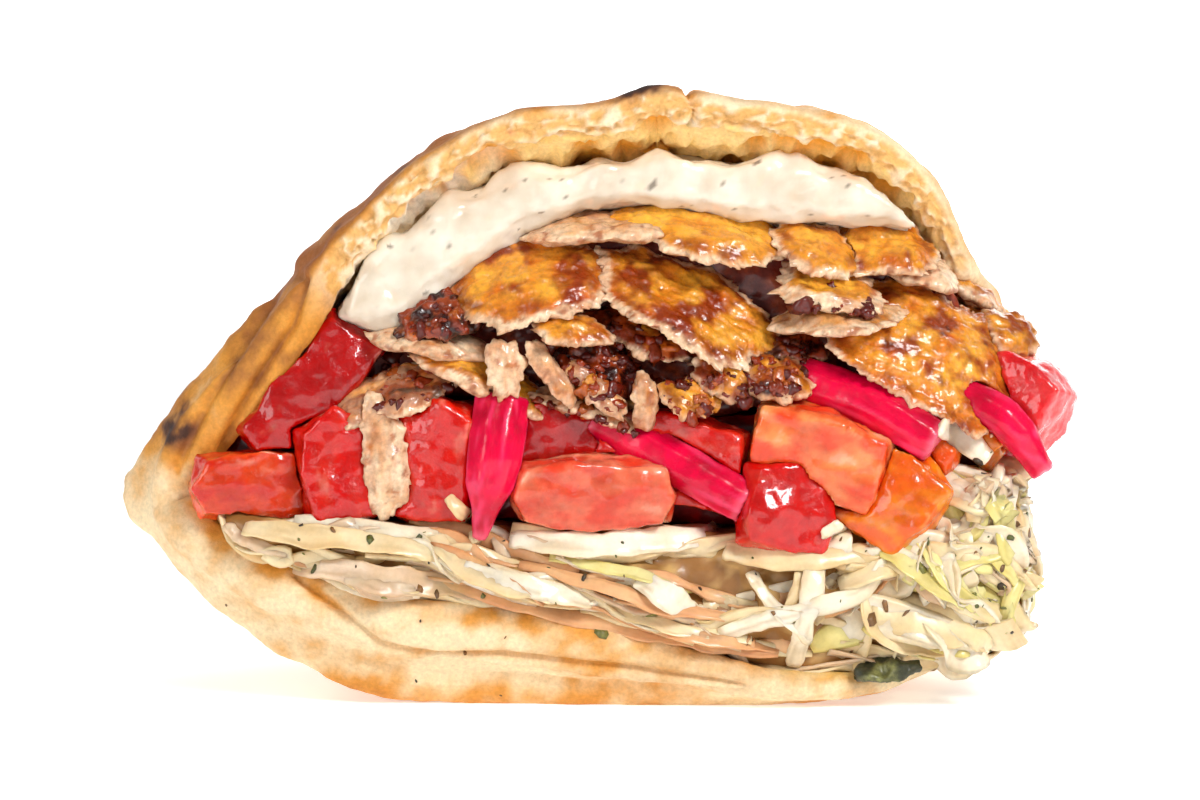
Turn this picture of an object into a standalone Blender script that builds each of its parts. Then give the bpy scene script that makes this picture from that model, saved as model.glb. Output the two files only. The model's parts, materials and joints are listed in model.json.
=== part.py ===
"""Chicken pita: a pocket of pita bread, open at the front and down its right side, filled with cabbage
slaw, tomato, pickled turnip, sliced chicken and garlic sauce.

Lengths are written in millimetres, and the meshes are made in metres. X runs along the mouth, Y into the
pocket and Z up. The pocket lies on Z = 0, and the origin is on the flat spot that it rests on.
"""

import math
import random
from collections import namedtuple

import bmesh
import bpy
import numpy as np
from mathutils import Matrix, Vector, noise
from mathutils.bvhtree import BVHTree

MM = 0.001
GAP = 0.45
TOUCHING = 0.002
MOST_TRIANGLES = {"slaw": 3050, "sauce": 520, "chicken_bed": 340, "tomato_bed": 300}
MOST_IN_PIECE = 130
LIGHTENINGS = (1.0, 0.97, 1.15, 1.3, 1.5, 1.75, 2.0, 2.4)
SEED = 11

# The pocket: how deep it is, where its back seam closes, and how fast the flaps close towards it.
FRONT_Y = -54.0
BACK_Y = 52.0
SEAM_Z = 32.0
TOP_Z = 122.0
CLOSE_LOW = 0.12
CLOSE_HIGH = 1.35
BODY_WALL = 6.5
CRUMB_WALL = 11.0
BACK_WALL = 12.0
CURL_DEPTH = 0.05
LIP_BULGE = 2.4
SEAM_RIDGE = 2.2
SEAM_WIDTH = 6.0
BREAD_AROUND = 64
BREAD_ROWS_OUT = 10
BREAD_ROWS_IN = 6
BREAD_BUMP = 1.4

# The mouth seen from the front, from its joined left corner over the top flap and back along the bottom.
# x and z are the bread's outline, y the depth of its rim, wall the thickness of the rim, and curl how far
# the rim turns inwards from the outline.
Station = namedtuple("Station", "x z y wall curl")
RIM = (
    Station(-96, 40.5, -41, 11, 4.5),
    Station(-92, 54, -43, 11, 4.0),
    Station(-82, 67.5, -46, 11.5, 4.0),
    Station(-68, 81.5, -49, 9.5, 3.5),
    Station(-54, 97, -51, 7.5, 2.5),
    Station(-37, 111, -53, 7, 1.5),
    Station(-18, 119.5, -54, 7, 0.5),
    Station(0, 121.5, -54, 7, 0.5),
    Station(11, 124.5, -54, 8.5, 0.0),
    Station(22, 122.5, -54, 7, 0.0),
    Station(40, 120.5, -53, 7, 0.5),
    Station(57, 115, -51, 6.5, 0.5),
    Station(68.5, 105, -46, 6, 1.0),
    Station(76.5, 92, -36, 6, 1.0),
    Station(86, 78, -18, 6.5, 1.0),
    Station(91, 58, -4, 7, 1.5),
    Station(90, 38, -5, 7, 2.0),
    Station(84, 20, -17, 7, 2.0),
    Station(74, 8, -34, 6.5, 2.0),
    Station(59, 1.5, -46, 5, 1.5),
    Station(40, -1, -52, 6.0, 2.5),
    Station(20, -2, -53, 8.5, 5.5),
    Station(0, -1.5, -53, 11, 8.0),
    Station(-20, -0.5, -53, 11.5, 9.5),
    Station(-43, 1.5, -53, 12, 9.5),
    Station(-62, 9, -51, 10.5, 8.0),
    Station(-79, 19.5, -48, 10, 5.5),
    Station(-91, 31, -44, 10.5, 4.0),
)
SEAM_ENDS = (0, 16)

# Where one layer of filling ends and the next begins, as heights along the mouth.
SLAW_TOP = ((-80, 41), (-55, 38), (-30, 37), (0, 36), (35, 35), (60, 38), (90, 48))
CHICKEN_FLOOR = ((-70, 72), (-45, 63), (-10, 61), (15, 57), (35, 60), (60, 58), (88, 62))
SAUCE_FLOOR = (
    (-60, 79), (-50, 77), (-43, 74), (-36, 79), (-27, 88), (-12, 97), (0, 101.5),
    (14, 101), (28, 98), (46, 97.5), (62, 97), (69, 91), (80, 76),
)
LAYER_SAMPLES = 13
LAYER_ROWS = 5
LAYER_FRONT = -40.5
LAYER_REAR = 22.0
SLAW_FRONT = -49.5
SAUCE_FRONT = -48.5
LAYER_CLEARANCE = 1.2

# The cuts of chicken that show, from front to back. Lean tips the top of a cut away from the viewer, roll
# turns it clockwise as seen, face turns it towards the open side, and ends is low for pointed ends.
Slice = namedtuple("Slice", "name x y z length width thick lean roll bend ends seed face", defaults=(0,))
CHICKEN = (
    Slice("chicken_strip_hanging", -42.8, -53.5, 50.5, 26, 10, 2.8, 82, 86, 1.5, 2.4, 3),
    Slice("chicken_flake_front", -5.8, -57, 75.6, 16, 8.5, 2.6, 46, 6, 1.0, 1.8, 5),
    Slice("chicken_shred_pale", -19, -56, 68, 13, 8, 2.6, 78, 80, 0.8, 2.6, 8),
    Slice("chicken_shred_left", -9.2, -55.5, 67, 17, 5.5, 2.6, 62, 58, 0.8, 2.2, 9),
    Slice("chicken_shred_middle", -0.6, -54.5, 64, 17, 6, 2.6, 64, 42, 0.8, 2.2, 12),
    Slice("chicken_shred_upright", 8.8, -54.5, 62, 12, 5.5, 2.8, 76, 86, 0.8, 2.4, 13),
    Slice("chicken_flake_yellow", 17.2, -55.5, 62.5, 11, 9, 3.0, 62, 14, 0.8, 2.0, 14),
    Slice("chicken_crust_bit", 25, -53.5, 66.5, 15, 10, 4.2, 58, 24, 0.8, 2.2, 15),
    Slice("chicken_crust_chunk", 35, -53, 66, 15, 11, 4.6, 52, 8, 0.8, 2.4, 16),
    Slice("chicken_left", -13.8, -51, 85.6, 37, 26, 3.8, 46, -8, 3.5, 1.9, 21),
    Slice("chicken_middle", 18.5, -50.5, 81, 43, 24, 3.8, 44, 26, 3.5, 1.9, 22),
    Slice("chicken_middle_low", 11, -47.5, 75.8, 27, 17, 3.6, 42, 14, 1.5, 2.0, 37),
    Slice("chicken_fringe", 45.2, -52, 84.4, 23, 15, 3.2, 38, 8, 1.5, 2.2, 23),
    Slice("chicken_pale_right", 47.2, -51, 78.4, 28, 15, 3.2, 24, -4, 1.5, 2.0, 24),
    Slice("chicken_big_right", 66.5, -48, 71.5, 44, 32, 4.4, 54, 32, 3.5, 2.1, 25),
    Slice("chicken_flake_right", 82.5, -40, 75, 15, 11, 3.2, 50, 24, 1.5, 2.0, 26),
    Slice("chicken_top", 20.5, -48.5, 96.5, 37, 20, 3.6, 40, 11, 3.0, 1.9, 27),
    Slice("chicken_top_right", 43.5, -49.5, 92, 20, 16, 3.4, 40, 16, 2.0, 2.0, 28),
    Slice("chicken_curled_right", 55.5, -46.5, 92.6, 25, 18, 3.8, 42, -2, 3.0, 2.0, 29),
    Slice("chicken_wedge_right", 65, -42.5, 87.5, 17, 12, 3.4, 34, 16, 1.5, 1.9, 38),
    Slice("chicken_top_pale", 0.5, -48.5, 96.2, 35, 16, 3.4, 22, -3, 1.5, 1.8, 30),
    Slice("chicken_dark_left", -32, -51, 79, 17, 13, 4.2, 46, -6, 1.5, 2.0, 39),
    Slice("chicken_pale_left", -34, -50, 73.5, 28, 14, 3.4, 24, 8, 1.5, 2.0, 31),
    Slice("chicken_long_left", -23, -51, 66.6, 33, 14, 3.2, 34, 26, 2.0, 2.0, 32),
    Slice("chicken_brown_left", -42, -50, 63, 27, 14, 3.4, 40, -18, 2.0, 2.0, 33),
    Slice("chicken_long_middle", 0, -49, 60.5, 30, 13, 3.2, 28, 20, 1.5, 2.0, 34),
    Slice("chicken_dark_middle", -1, -49.5, 70, 20, 15, 4.6, 50, 24, 2.0, 2.2, 35),
    Slice("chicken_dark_right", 31, -47.5, 72, 30, 17, 4.4, 42, 4, 2.0, 2.1, 36),
    Slice("chicken_side_high", 77.5, -28, 84, 23, 15, 3.6, 42, 12, 2.0, 2.0, 41, 58),
    Slice("chicken_side_middle", 83.5, -21, 75.5, 30, 20, 4.0, 50, -10, 2.5, 2.0, 42, 66),
    Slice("chicken_side_low", 85, -26, 67, 24, 15, 3.6, 34, 14, 1.5, 2.0, 43, 62),
)
SLICE_AROUND = 16
SLICE_TEETH = 0.07

Chunk = namedtuple("Chunk", "name x y z width depth height lean roll turn seed")
TOMATO = (
    Chunk("tomato_front", -1, -52, 43.5, 32, 12, 12.5, 8, 1, 4, 1),
    Chunk("tomato_shiny", 37, -53, 40, 18, 12, 16, -6, 8, 12, 2),
    Chunk("tomato_gel", 43.2, -51, 50.5, 28, 14, 17, 10, 14, -6, 3),
    Chunk("tomato_orange", 56.5, -50, 43.5, 23, 13, 19, 6, 38, -14, 4),
    Chunk("tomato_seeded", -51.5, -48.5, 47.8, 18, 12, 21, 0, -10, 10, 5),
    Chunk("tomato_corner", -67, -46, 44.5, 29, 12, 13, 0, -2, 8, 6),
    Chunk("tomato_behind_strip", -34.5, -48, 49.2, 20, 12, 23, 4, 8, -8, 7),
    Chunk("tomato_slope", -58, -44.5, 63.5, 33, 11, 14, 0, -52, 6, 8),
    Chunk("tomato_dark", -10, -46, 51.5, 20, 11, 20, 6, -4, 10, 9),
    Chunk("tomato_middle", 14, -46.5, 50, 32, 12, 17, 4, 10, -6, 10),
    Chunk("tomato_far_right", 85, -41, 60.5, 17, 14, 17, 8, 30, -30, 12),
    Chunk("tomato_under_crust", 76, -43, 57, 16, 10, 13, 10, 34, -20, 13),
    Chunk("tomato_skin", 62, -45, 51, 19, 11, 13, 0, 34, -10, 14),
    Chunk("tomato_side_front", 84, -25, 54, 15, 17, 15, 0, 12, 20, 15),
    Chunk("tomato_side_back", 84, -10, 50, 13, 16, 15, 0, -8, -12, 16),
)

Stick = namedtuple("Stick", "name points width height tip seed")
PICKLE = (
    Stick("pickle_upright", ((-19.5, -51, 62), (-21, -55, 50), (-24, -55.5, 34.5)), 10.5, 8.5, 0.22, 1),
    Stick("pickle_centre", ((0, -46, 57.5), (14, -51, 50), (29, -54, 41.5)), 8.5, 8.5, 0.95, 2),
    Stick("pickle_right", ((40, -46, 66), (54, -51.5, 61), (66.5, -55, 53.5)), 9, 9, 0.95, 3),
    Stick("pickle_far_right", ((69, -46, 64), (81, -50.5, 58), (88.5, -51, 47.5)), 7.5, 8, 0.6, 4),
)
STICK_ROWS = 7
STICK_CORNERS = 8

# The shreds of cabbage that show: x and z along the centre line, width, thickness, how upright the strip
# stands in the view, and how far its middle stands out from the heap.
Shred = namedtuple("Shred", "points width thick upright out")
SHREDS = (
    Shred(((-18, 34), (-6, 33.5), (10, 34), (29, 35)), 5.8, 1.8, 62, 3.0),
    Shred(((-71, 36.5), (-60, 35.5), (-46, 34), (-32, 31.5)), 5.0, 1.6, 60, 2.0),
    Shred(((-62, 28.5), (-52, 28), (-38, 26), (-24, 23)), 5.2, 2.6, 70, 2.5),
    Shred(((-50, 27), (-44, 25.5), (-37, 24.5)), 3.6, 2.2, 60, 2.0),
    Shred(((-34, 35), (-28, 30), (-20, 26.5), (-9, 23.5)), 5.4, 1.8, 58, 2.5),
    Shred(((-27, 29), (-14, 25.5), (-2, 22.5)), 5.2, 2.4, 62, 3.5),
    Shred(((-34, 27), (-16, 21), (6, 16.5), (22, 13), (36, 11.5)), 4.4, 1.6, 55, 2.5),
    Shred(((-16, 29.5), (0, 25.5), (12, 21.5), (26, 19)), 3.6, 1.6, 50, 2.5),
    Shred(((-10, 31), (4, 28.5), (18, 24.5)), 2.8, 1.4, 50, 1.5),
    Shred(((8, 27), (13, 23.5), (18, 20.5)), 6.0, 2.2, 70, 4.0),
    Shred(((25, 32), (38, 31), (54, 31.5)), 6.0, 1.8, 60, 2.5),
    Shred(((43, 33), (41, 20), (39, 8.5)), 5.0, 1.8, 80, 4.0),
    Shred(((57, 30), (51, 23.5), (38, 20), (24, 15.5)), 4.6, 1.8, 56, 3.5),
    Shred(((52, 24), (55, 16), (64, 12), (74, 11)), 3.8, 1.8, 60, 2.5),
    Shred(((8, 17), (22, 14.5), (36, 12)), 3.2, 1.6, 50, 1.5),
    Shred(((54, 20), (66, 19), (78, 16), (83, 11)), 11.0, 1.8, 62, 2.0),
    Shred(((57, 33), (66, 28), (76, 21)), 9.0, 1.8, 64, 1.5),
    Shred(((60, 42), (68, 27), (79, 17)), 3.4, 1.6, 60, 3.0),
    Shred(((66, 44.5), (76, 43.5), (87, 42)), 5.6, 2.8, 70, 2.5),
    Shred(((80, 45), (80.5, 38), (80, 31)), 6.2, 2.0, 78, 2.5),
    Shred(((87, 49), (92, 43), (92, 33)), 5.4, 1.8, 70, 1.0),
    Shred(((72, 36), (80, 28), (88, 24)), 6.0, 1.8, 60, 2.0),
    Shred(((78, 32), (85, 26), (90, 19)), 6.0, 1.8, 64, 1.5),
    Shred(((69, 23), (77, 20), (85, 17)), 5.5, 2.0, 58, 2.5),
    Shred(((64, 47), (70, 45), (76, 42)), 5.0, 2.0, 66, 3.0),
    Shred(((60, 15), (68, 13), (76, 11.5)), 4.0, 1.6, 40, 1.5),
    Shred(((-74, 37), (-70, 34), (-62, 31.5)), 3.4, 1.6, 58, 1.5),
    Shred(((-55, 27), (-44, 23), (-28, 20)), 3.6, 1.6, 54, 1.5),
    Shred(((-32, 21), (-14, 18.5), (2, 16)), 3.4, 1.5, 56, 1.5),
    Shred(((0, 22), (14, 17), (30, 14)), 3.2, 1.5, 58, 1.5),
    Shred(((30, 28), (34, 21), (42, 14)), 3.2, 1.5, 64, 1.5),
    Shred(((62, 25), (72, 30), (84, 33)), 3.6, 1.5, 60, 2.0),
)
SHRED_ROWS = 5
SPILL = ((69.5, -29, 27.5), (21.5, 23, 22))
MOST_SHIFT = 4

HERB_LEAF = ((57.5, -53.2, 8.2), 13.0, 6.0, 0.8)

COLOURS = {
    "bread": ((0.80, 0.58, 0.34), 0.75),
    "sauce": ((0.88, 0.82, 0.74), 0.3),
    "slaw": ((0.86, 0.75, 0.56), 0.35),
    "chicken": ((0.70, 0.36, 0.10), 0.4),
    "tomato": ((0.78, 0.05, 0.02), 0.25),
    "pickle": ((0.80, 0.01, 0.12), 0.3),
    "herb": ((0.07, 0.08, 0.02), 0.5),
}


def material(kind):
    """The one material of a kind of food, made when it is first asked for."""
    made = bpy.data.materials.get(kind)
    if made is None:
        colour, roughness = COLOURS[kind]
        made = bpy.data.materials.new(kind)
        made.use_nodes = True
        shader = made.node_tree.nodes["Principled BSDF"]
        shader.inputs["Base Color"].default_value = (*colour, 1.0)
        shader.inputs["Roughness"].default_value = roughness
        made.diffuse_color = (*colour, 1.0)
    return made


def new_object(name, mesh, kind):
    """A smooth-shaded object of the mesh, linked to the scene."""
    mesh.name = name
    mesh.materials.clear()
    mesh.materials.append(material(kind))
    mesh.shade_smooth()
    mesh.set_sharp_from_angle(angle=math.radians(50))
    made = bpy.data.objects.new(name, mesh)
    bpy.context.scene.collection.objects.link(made)
    return made


def mesh_of(points, faces):
    """A mesh of points in millimetres, with its faces turned outwards."""
    mesh = bpy.data.meshes.new("shape")
    mesh.from_pydata([Vector(p) * MM for p in points], [], faces)
    shape = bmesh.new()
    shape.from_mesh(mesh)
    bmesh.ops.recalc_face_normals(shape, faces=shape.faces)
    shape.to_mesh(mesh)
    shape.free()
    return mesh


def stacked_rings(rings, closed_start=True, closed_end=True):
    """Points and faces of a skin over rings that all have the same number of points."""
    count = len(rings[0])
    points = [p for ring in rings for p in ring]
    faces = []
    for row in range(len(rings) - 1):
        for i in range(count):
            j = (i + 1) % count
            near, far = row * count, (row + 1) * count
            faces.append((near + i, near + j, far + j, far + i))
    if closed_start:
        faces.append(tuple(range(count)))
    if closed_end:
        faces.append(tuple(range(len(points) - count, len(points))))
    return points, faces


def smooth_step(value):
    value = np.clip(value, 0.0, 1.0)
    return value * value * (3 - 2 * value)


def closed_curve(rows, count):
    """Evenly spaced rows on the closed curve through the given rows, whose first two columns are x and z."""
    rows = np.asarray(rows, float)
    total = len(rows)
    fine = []
    for step in np.linspace(0, total, total * 16, endpoint=False):
        i = int(step)
        t = step - i
        a, b, c, d = (rows[(i + k) % total] for k in (-1, 0, 1, 2))
        fine.append(
            b + 0.5 * t * (c - a + t * (2 * a - 5 * b + 4 * c - d + t * (3 * b - a - 3 * c + d)))
        )
    fine = np.array(fine + fine[:1])
    steps = np.linalg.norm(np.diff(fine[:, :2], axis=0), axis=1)
    along = np.concatenate([[0], np.cumsum(steps)])
    wanted = np.linspace(0, along[-1], count, endpoint=False)
    return np.column_stack([np.interp(wanted, along, column) for column in fine.T])


def outward(x, z):
    """Unit normals, in the mouth's plane, of a closed outline that runs clockwise as seen from the front."""
    dx, dz = np.roll(x, -1) - np.roll(x, 1), np.roll(z, -1) - np.roll(z, 1)
    length = np.hypot(dx, dz)
    return -dz / length, dx / length


def deepen(x, z, depth, front_y, back_y):
    """Carries points of the mouth's plane into the pocket: depth 0 is the mouth and 1 the back seam."""
    near, far = np.cos(depth * np.pi / 2), np.sin(depth * np.pi / 2)
    closing = CLOSE_LOW + (CLOSE_HIGH - CLOSE_LOW) * np.clip(z / TOP_Z, 0, 1)
    y = front_y + (back_y - front_y) * far
    return np.column_stack([x * near, np.broadcast_to(y, x.shape), SEAM_Z + (z - SEAM_Z) * near**closing])


def wall_at(stations, depth):
    """The bread's thickness: its rim's at the mouth, a thick crumb under the top flap, and thinner behind."""
    z, rim_wall = stations[:, 1], stations[:, 3]
    roof = smooth_step((z - 80) / 25)
    crumb = roof * (CRUMB_WALL - BODY_WALL) * smooth_step(depth / 0.1) * (1 - smooth_step((depth - 0.3) / 0.4))
    return rim_wall + (BODY_WALL - rim_wall) * smooth_step(depth / 0.25) + crumb


def bread_section(stations, depth, inset=0.0):
    """x and z, in the mouth's plane, of the bread's outline at a depth, moved in by inset."""
    x, z, curl = stations[:, 0], stations[:, 1], stations[:, 4]
    out_x, out_z = outward(x, z)
    inset = inset + curl * (1 - smooth_step(depth / CURL_DEPTH))
    return x - out_x * inset, z - out_z * inset


def bump(points, size, height, seed):
    """Moves points up and down by smooth noise."""
    offset = Vector((seed * 7.3, seed * 3.1, seed * 1.7))
    return np.array([height * noise.noise(Vector(p) / size + offset) for p in points])


def seam_ridge(x, z):
    """How far the joined edge of the two flaps stands out, from the left corner and the open side back."""
    ridge = np.zeros_like(x)
    for end in SEAM_ENDS:
        away = np.hypot(x - RIM[end].x, z - RIM[end].z)
        ridge += SEAM_RIDGE * np.exp(-((away / SEAM_WIDTH) ** 2))
    return ridge


def make_bread():
    """The pocket: an outer skin, an inner skin and a rounded rim round the mouth."""
    stations = closed_curve(RIM, BREAD_AROUND)
    rim_y = stations[:, 2]
    rings = []
    for row in range(BREAD_ROWS_OUT - 1, -1, -1):
        depth = (row / BREAD_ROWS_OUT) ** 1.2
        x, z = bread_section(stations, depth)
        ring = deepen(x, z, depth, rim_y, BACK_Y)
        out_x, out_z = outward(x, z)
        lift = bump(ring, 17, BREAD_BUMP, SEED) + seam_ridge(x, z) * (1 - depth)
        lift *= smooth_step(depth / 0.05)
        ring[:, 0] += out_x * lift
        ring[:, 2] += out_z * lift
        ring[:, 2] = np.maximum(ring[:, 2], 0.0)
        rings.append(ring)
    for share in (0.25, 0.75):
        x, z = bread_section(stations, 0.0, wall_at(stations, 0.0) * share)
        lip = deepen(x, z, 0.0, rim_y, BACK_Y)
        lip[:, 1] -= LIP_BULGE
        rings.append(lip)
    for row in range(BREAD_ROWS_IN):
        depth = (row / BREAD_ROWS_IN) ** 1.2
        x, z = bread_section(stations, depth, wall_at(stations, depth))
        rings.append(deepen(x, z, depth, rim_y, BACK_Y - BACK_WALL))
    points, faces = stacked_rings(rings, closed_start=False, closed_end=False)
    outer_pole, inner_pole = len(points), len(points) + 1
    points = [*points, (0.0, BACK_Y, SEAM_Z), (0.0, BACK_Y - BACK_WALL, SEAM_Z)]
    last = len(points) - 2 - BREAD_AROUND
    for i in range(BREAD_AROUND):
        j = (i + 1) % BREAD_AROUND
        faces.append((outer_pole, j, i))
        faces.append((inner_pole, last + i, last + j))
    return new_object("bread", mesh_of(points, faces), "bread")


def cavity_at(y):
    """The pocket's floor and roof where it is cut at y, each as x and z in order of x."""
    stations = closed_curve(RIM, BREAD_AROUND * 2)
    rim_y = stations[:, 2]
    reach = np.clip((y - rim_y) / (BACK_Y - BACK_WALL - rim_y), 0, 1)
    depth = np.arcsin(reach) * 2 / np.pi
    x, z = bread_section(stations, depth, wall_at(stations, depth) + LAYER_CLEARANCE)
    cut = deepen(x, z, depth, rim_y, BACK_Y - BACK_WALL)
    x, z = cut[:, 0], cut[:, 2]
    left, right = int(np.argmin(x)), int(np.argmax(x))
    between = np.zeros(len(x), bool)
    between[min(left, right) : max(left, right) + 1] = True
    curves = []
    for part in (between, ~between):
        order = np.flatnonzero(part)[np.argsort(x[part])]
        curves.append((x[order], z[order]))
    return sorted(curves, key=lambda curve: curve[1].mean())


def boundary_at(heights, y, xs):
    """A boundary between two layers, carried from the mouth to the cut at y."""
    x, z = (np.array(column, float) for column in zip(*heights))
    depth = math.asin((y - FRONT_Y) / (BACK_Y - BACK_WALL - FRONT_Y)) * 2 / math.pi
    cut = deepen(x, z, depth, FRONT_Y, BACK_Y - BACK_WALL)
    return np.interp(xs, cut[:, 0], cut[:, 2])


def layer_ring(under, over, y, shrink=0.0):
    """One ring of a layer of filling, cut at y between the pocket's walls and its neighbours."""
    (floor_x, floor_z), (roof_x, roof_z) = cavity_at(y)
    xs = np.linspace(max(floor_x[0], roof_x[0]), min(floor_x[-1], roof_x[-1]), 300)
    low = np.interp(xs, floor_x, floor_z)
    high = np.interp(xs, roof_x, roof_z)
    if under is not None:
        low = np.maximum(low, boundary_at(under, y, xs) + GAP)
    if over is not None:
        high = np.minimum(high, boundary_at(over, y, xs) - GAP)
    wide = xs[high - low > 2.0]
    chosen = np.linspace(wide[0] + 3 * shrink, wide[-1] - 3 * shrink, LAYER_SAMPLES)
    low, high = np.interp(chosen, xs, low), np.interp(chosen, xs, high)
    middle, half = (low + high) / 2, (high - low) / 2 * (1 - shrink / 2)
    x = np.concatenate([chosen, chosen[::-1]])
    z = np.concatenate([middle - half, (middle + half)[::-1]])
    return np.column_stack([x, np.full_like(x, y), z])


def layer_mesh(under, over, front, rounded=False):
    """A layer of filling that runs from the mouth into the pocket, its front edge eased if it shows."""
    rings = []
    if rounded:
        ring = layer_ring(under, over, front, 1.0)
        ring[:, 1] -= 3.0
        rings.append(ring)
    for y in np.linspace(front, LAYER_REAR, LAYER_ROWS):
        rings.append(layer_ring(under, over, float(y)))
    return mesh_of(*stacked_rings(rings))


def placed(points, place, lean, roll, turn=0.0, face=0.0):
    """Points turned about Z, tipped back by lean, rolled clockwise in the view, then faced to the side."""
    turned = (
        Matrix.Rotation(math.radians(face), 3, "Z")
        @ Matrix.Rotation(math.radians(roll), 3, "Y")
        @ Matrix.Rotation(math.radians(lean), 3, "X")
        @ Matrix.Rotation(math.radians(turn), 3, "Z")
    )
    return [turned @ Vector(p) + Vector(place) for p in points]


def slice_mesh(cut):
    """A thin cut of chicken: an uneven oval with a ragged edge, thickest inside, curled along its length."""
    rng = random.Random(cut.seed)
    phase = Vector((rng.uniform(0, 50), rng.uniform(0, 50), 0))
    teeth = [rng.uniform(-SLICE_TEETH, SLICE_TEETH) for _ in range(SLICE_AROUND)]

    def bent(u, v, height):
        curl = -cut.bend * u * u + 0.5 * cut.bend * noise.noise(phase + Vector((u, v, 3)) * 1.3)
        return (u * cut.length / 2, v * cut.width / 2, curl + height * cut.thick)

    rings = []
    for share, height in ((0.62, 0.48), (1.0, 0.1), (0.68, -0.46)):
        ring = []
        for i, tooth in enumerate(teeth):
            angle = 2 * math.pi * i / SLICE_AROUND
            c, s = math.cos(angle), math.sin(angle)
            ragged = 1 + 0.3 * noise.noise(phase + Vector((c, s, 0)) * 1.6) + tooth
            reach = (abs(c) ** cut.ends + abs(s) ** cut.ends) ** (-1 / cut.ends) * ragged * share
            ring.append(bent(c * reach, s * reach, height))
        rings.append(ring)
    points, faces = stacked_rings(rings, closed_start=False, closed_end=False)
    top, bottom, last = len(points), len(points) + 1, len(points) - SLICE_AROUND
    points += [bent(0, 0, 0.55), bent(0, 0, -0.5)]
    for i in range(SLICE_AROUND):
        j = (i + 1) % SLICE_AROUND
        faces.append((top, j, i))
        faces.append((bottom, last + i, last + j))
    return mesh_of(placed(points, (cut.x, cut.y, cut.z), cut.lean, cut.roll, face=cut.face), faces)


def block():
    """Points and faces of a cube from -1 to 1 whose sides are each split in four."""
    steps = (-1, 0, 1)
    places = [(x, y, z) for x in steps for y in steps for z in steps if (x, y, z) != (0, 0, 0)]
    faces = []
    for axis in range(3):
        for side in (-1, 1):
            for a, b in ((-1, -1), (-1, 0), (0, -1), (0, 0)):
                quad = []
                for corner in ((a, b), (a + 1, b), (a + 1, b + 1), (a, b + 1)):
                    quad.append(places.index((*corner[:axis], side, *corner[axis:])))
                faces.append(quad)
    return places, faces


def chunk_mesh(cut):
    """A diced piece of tomato: a block with eased edges, uneven sides and one side of bulging skin."""
    phase = Vector((cut.seed * 5.1, cut.seed * 2.3, cut.seed))
    places, faces = block()
    points = []
    for place in places:
        p = Vector(place)
        eased = p.lerp(p.normalized() * 1.2, 0.42 if p.length > 1.6 else 0.1)
        uneven = Vector([noise.noise(p * 0.9 + phase * side) for side in (1, 2, 3)]) * 0.2
        skin = Vector((0, 0, 0.16 * max(0.0, p.z) * (1 - p.x * p.x)))
        shaped = eased + uneven + skin
        points.append((shaped.x * cut.width / 2, shaped.y * cut.depth / 2, shaped.z * cut.height / 2))
    return mesh_of(placed(points, (cut.x, cut.y, cut.z), cut.lean, cut.roll, cut.turn), faces)


def along_points(points, count):
    """Places and directions at even steps on the smooth curve through a few points."""
    points = [Vector(p) for p in points]
    first, last = 2 * points[0] - points[1], 2 * points[-1] - points[-2]
    chain = [first, *points, last]
    places = []
    for step in np.linspace(0, len(points) - 1 - 1e-6, count).tolist():
        i = int(step)
        t = step - i
        a, b, c, d = chain[i : i + 4]
        places.append(
            b + 0.5 * t * (c - a + t * (2 * a - 5 * b + 4 * c - d + t * (3 * b - a - 3 * c + d)))
        )
    directions = [
        (places[min(i + 1, count - 1)] - places[max(i - 1, 0)]).normalized() for i in range(count)
    ]
    return places, directions


def swept_mesh(points, rows, section):
    """A bar along a curve; section gives, for a share of the length, the corners as (across, up) pairs."""
    places, directions = along_points(points, rows)
    rings = []
    for row, (place, along) in enumerate(zip(places, directions)):
        across = along.cross(Vector((0, 1, 0)))
        if across.length < 0.2:
            across = along.cross(Vector((0, 0, 1)))
        across.normalize()
        up = across.cross(along).normalized()
        rings.append([place + across * a + up * b for a, b in section(row / (rows - 1))])
    return mesh_of(*stacked_rings(rings))


def stick_mesh(stick):
    """A stick of pickled turnip: a bar with eased corners that narrows to its tip."""
    rng = random.Random(stick.seed)

    def section(share):
        size = 1 - (1 - stick.tip) * smooth_step((share - 0.55) / 0.45)
        size *= 1 + rng.uniform(-0.02, 0.02)
        corners = []
        for i in range(STICK_CORNERS):
            angle = 2 * math.pi * (i + 0.5) / STICK_CORNERS
            c, s = math.cos(angle), math.sin(angle)
            square = (abs(c) ** 5 + abs(s) ** 5) ** -0.2
            corners.append((c * square * size * stick.width / 2, s * square * size * stick.height / 2))
        return corners

    return swept_mesh(stick.points, STICK_ROWS, section)


def shred_mesh(shred, tree, shift, shorten):
    """A shred of cabbage: a flat strip that follows the heap's front, moved by shift and cut short."""
    turn = math.radians(90 - shred.upright)

    def section(share):
        width = shred.width * (0.6 + 0.4 * math.sin(math.pi * min(max(share, 0.15), 0.85)))
        corners = []
        for a, b in ((-1, -1), (1, -1), (1, 1), (-1, 1)):
            across, up = a * width / 2, b * shred.thick / 2
            corners.append(
                (across * math.cos(turn) - up * math.sin(turn), across * math.sin(turn) + up * math.cos(turn))
            )
        return corners

    line, _ = along_points([(x, 0, z) for x, z in shred.points], 9)
    line = line[: len(line) - shorten]
    chosen = []
    for index in (0, len(line) // 3, 2 * len(line) // 3, len(line) - 1):
        x, _, z = line[index]
        start = Vector((x, FRONT_Y - 20, z)) * MM
        place = (tree.ray_cast(start, Vector((0, 1, 0)))[0] or tree.find_nearest(start)[0]) / MM
        middle = math.sin(math.pi * index / (len(line) - 1))
        chosen.append(place + Vector((0, shift - 0.6 - shred.out * middle, 0)))
    return swept_mesh(chosen, SHRED_ROWS, section)


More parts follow.
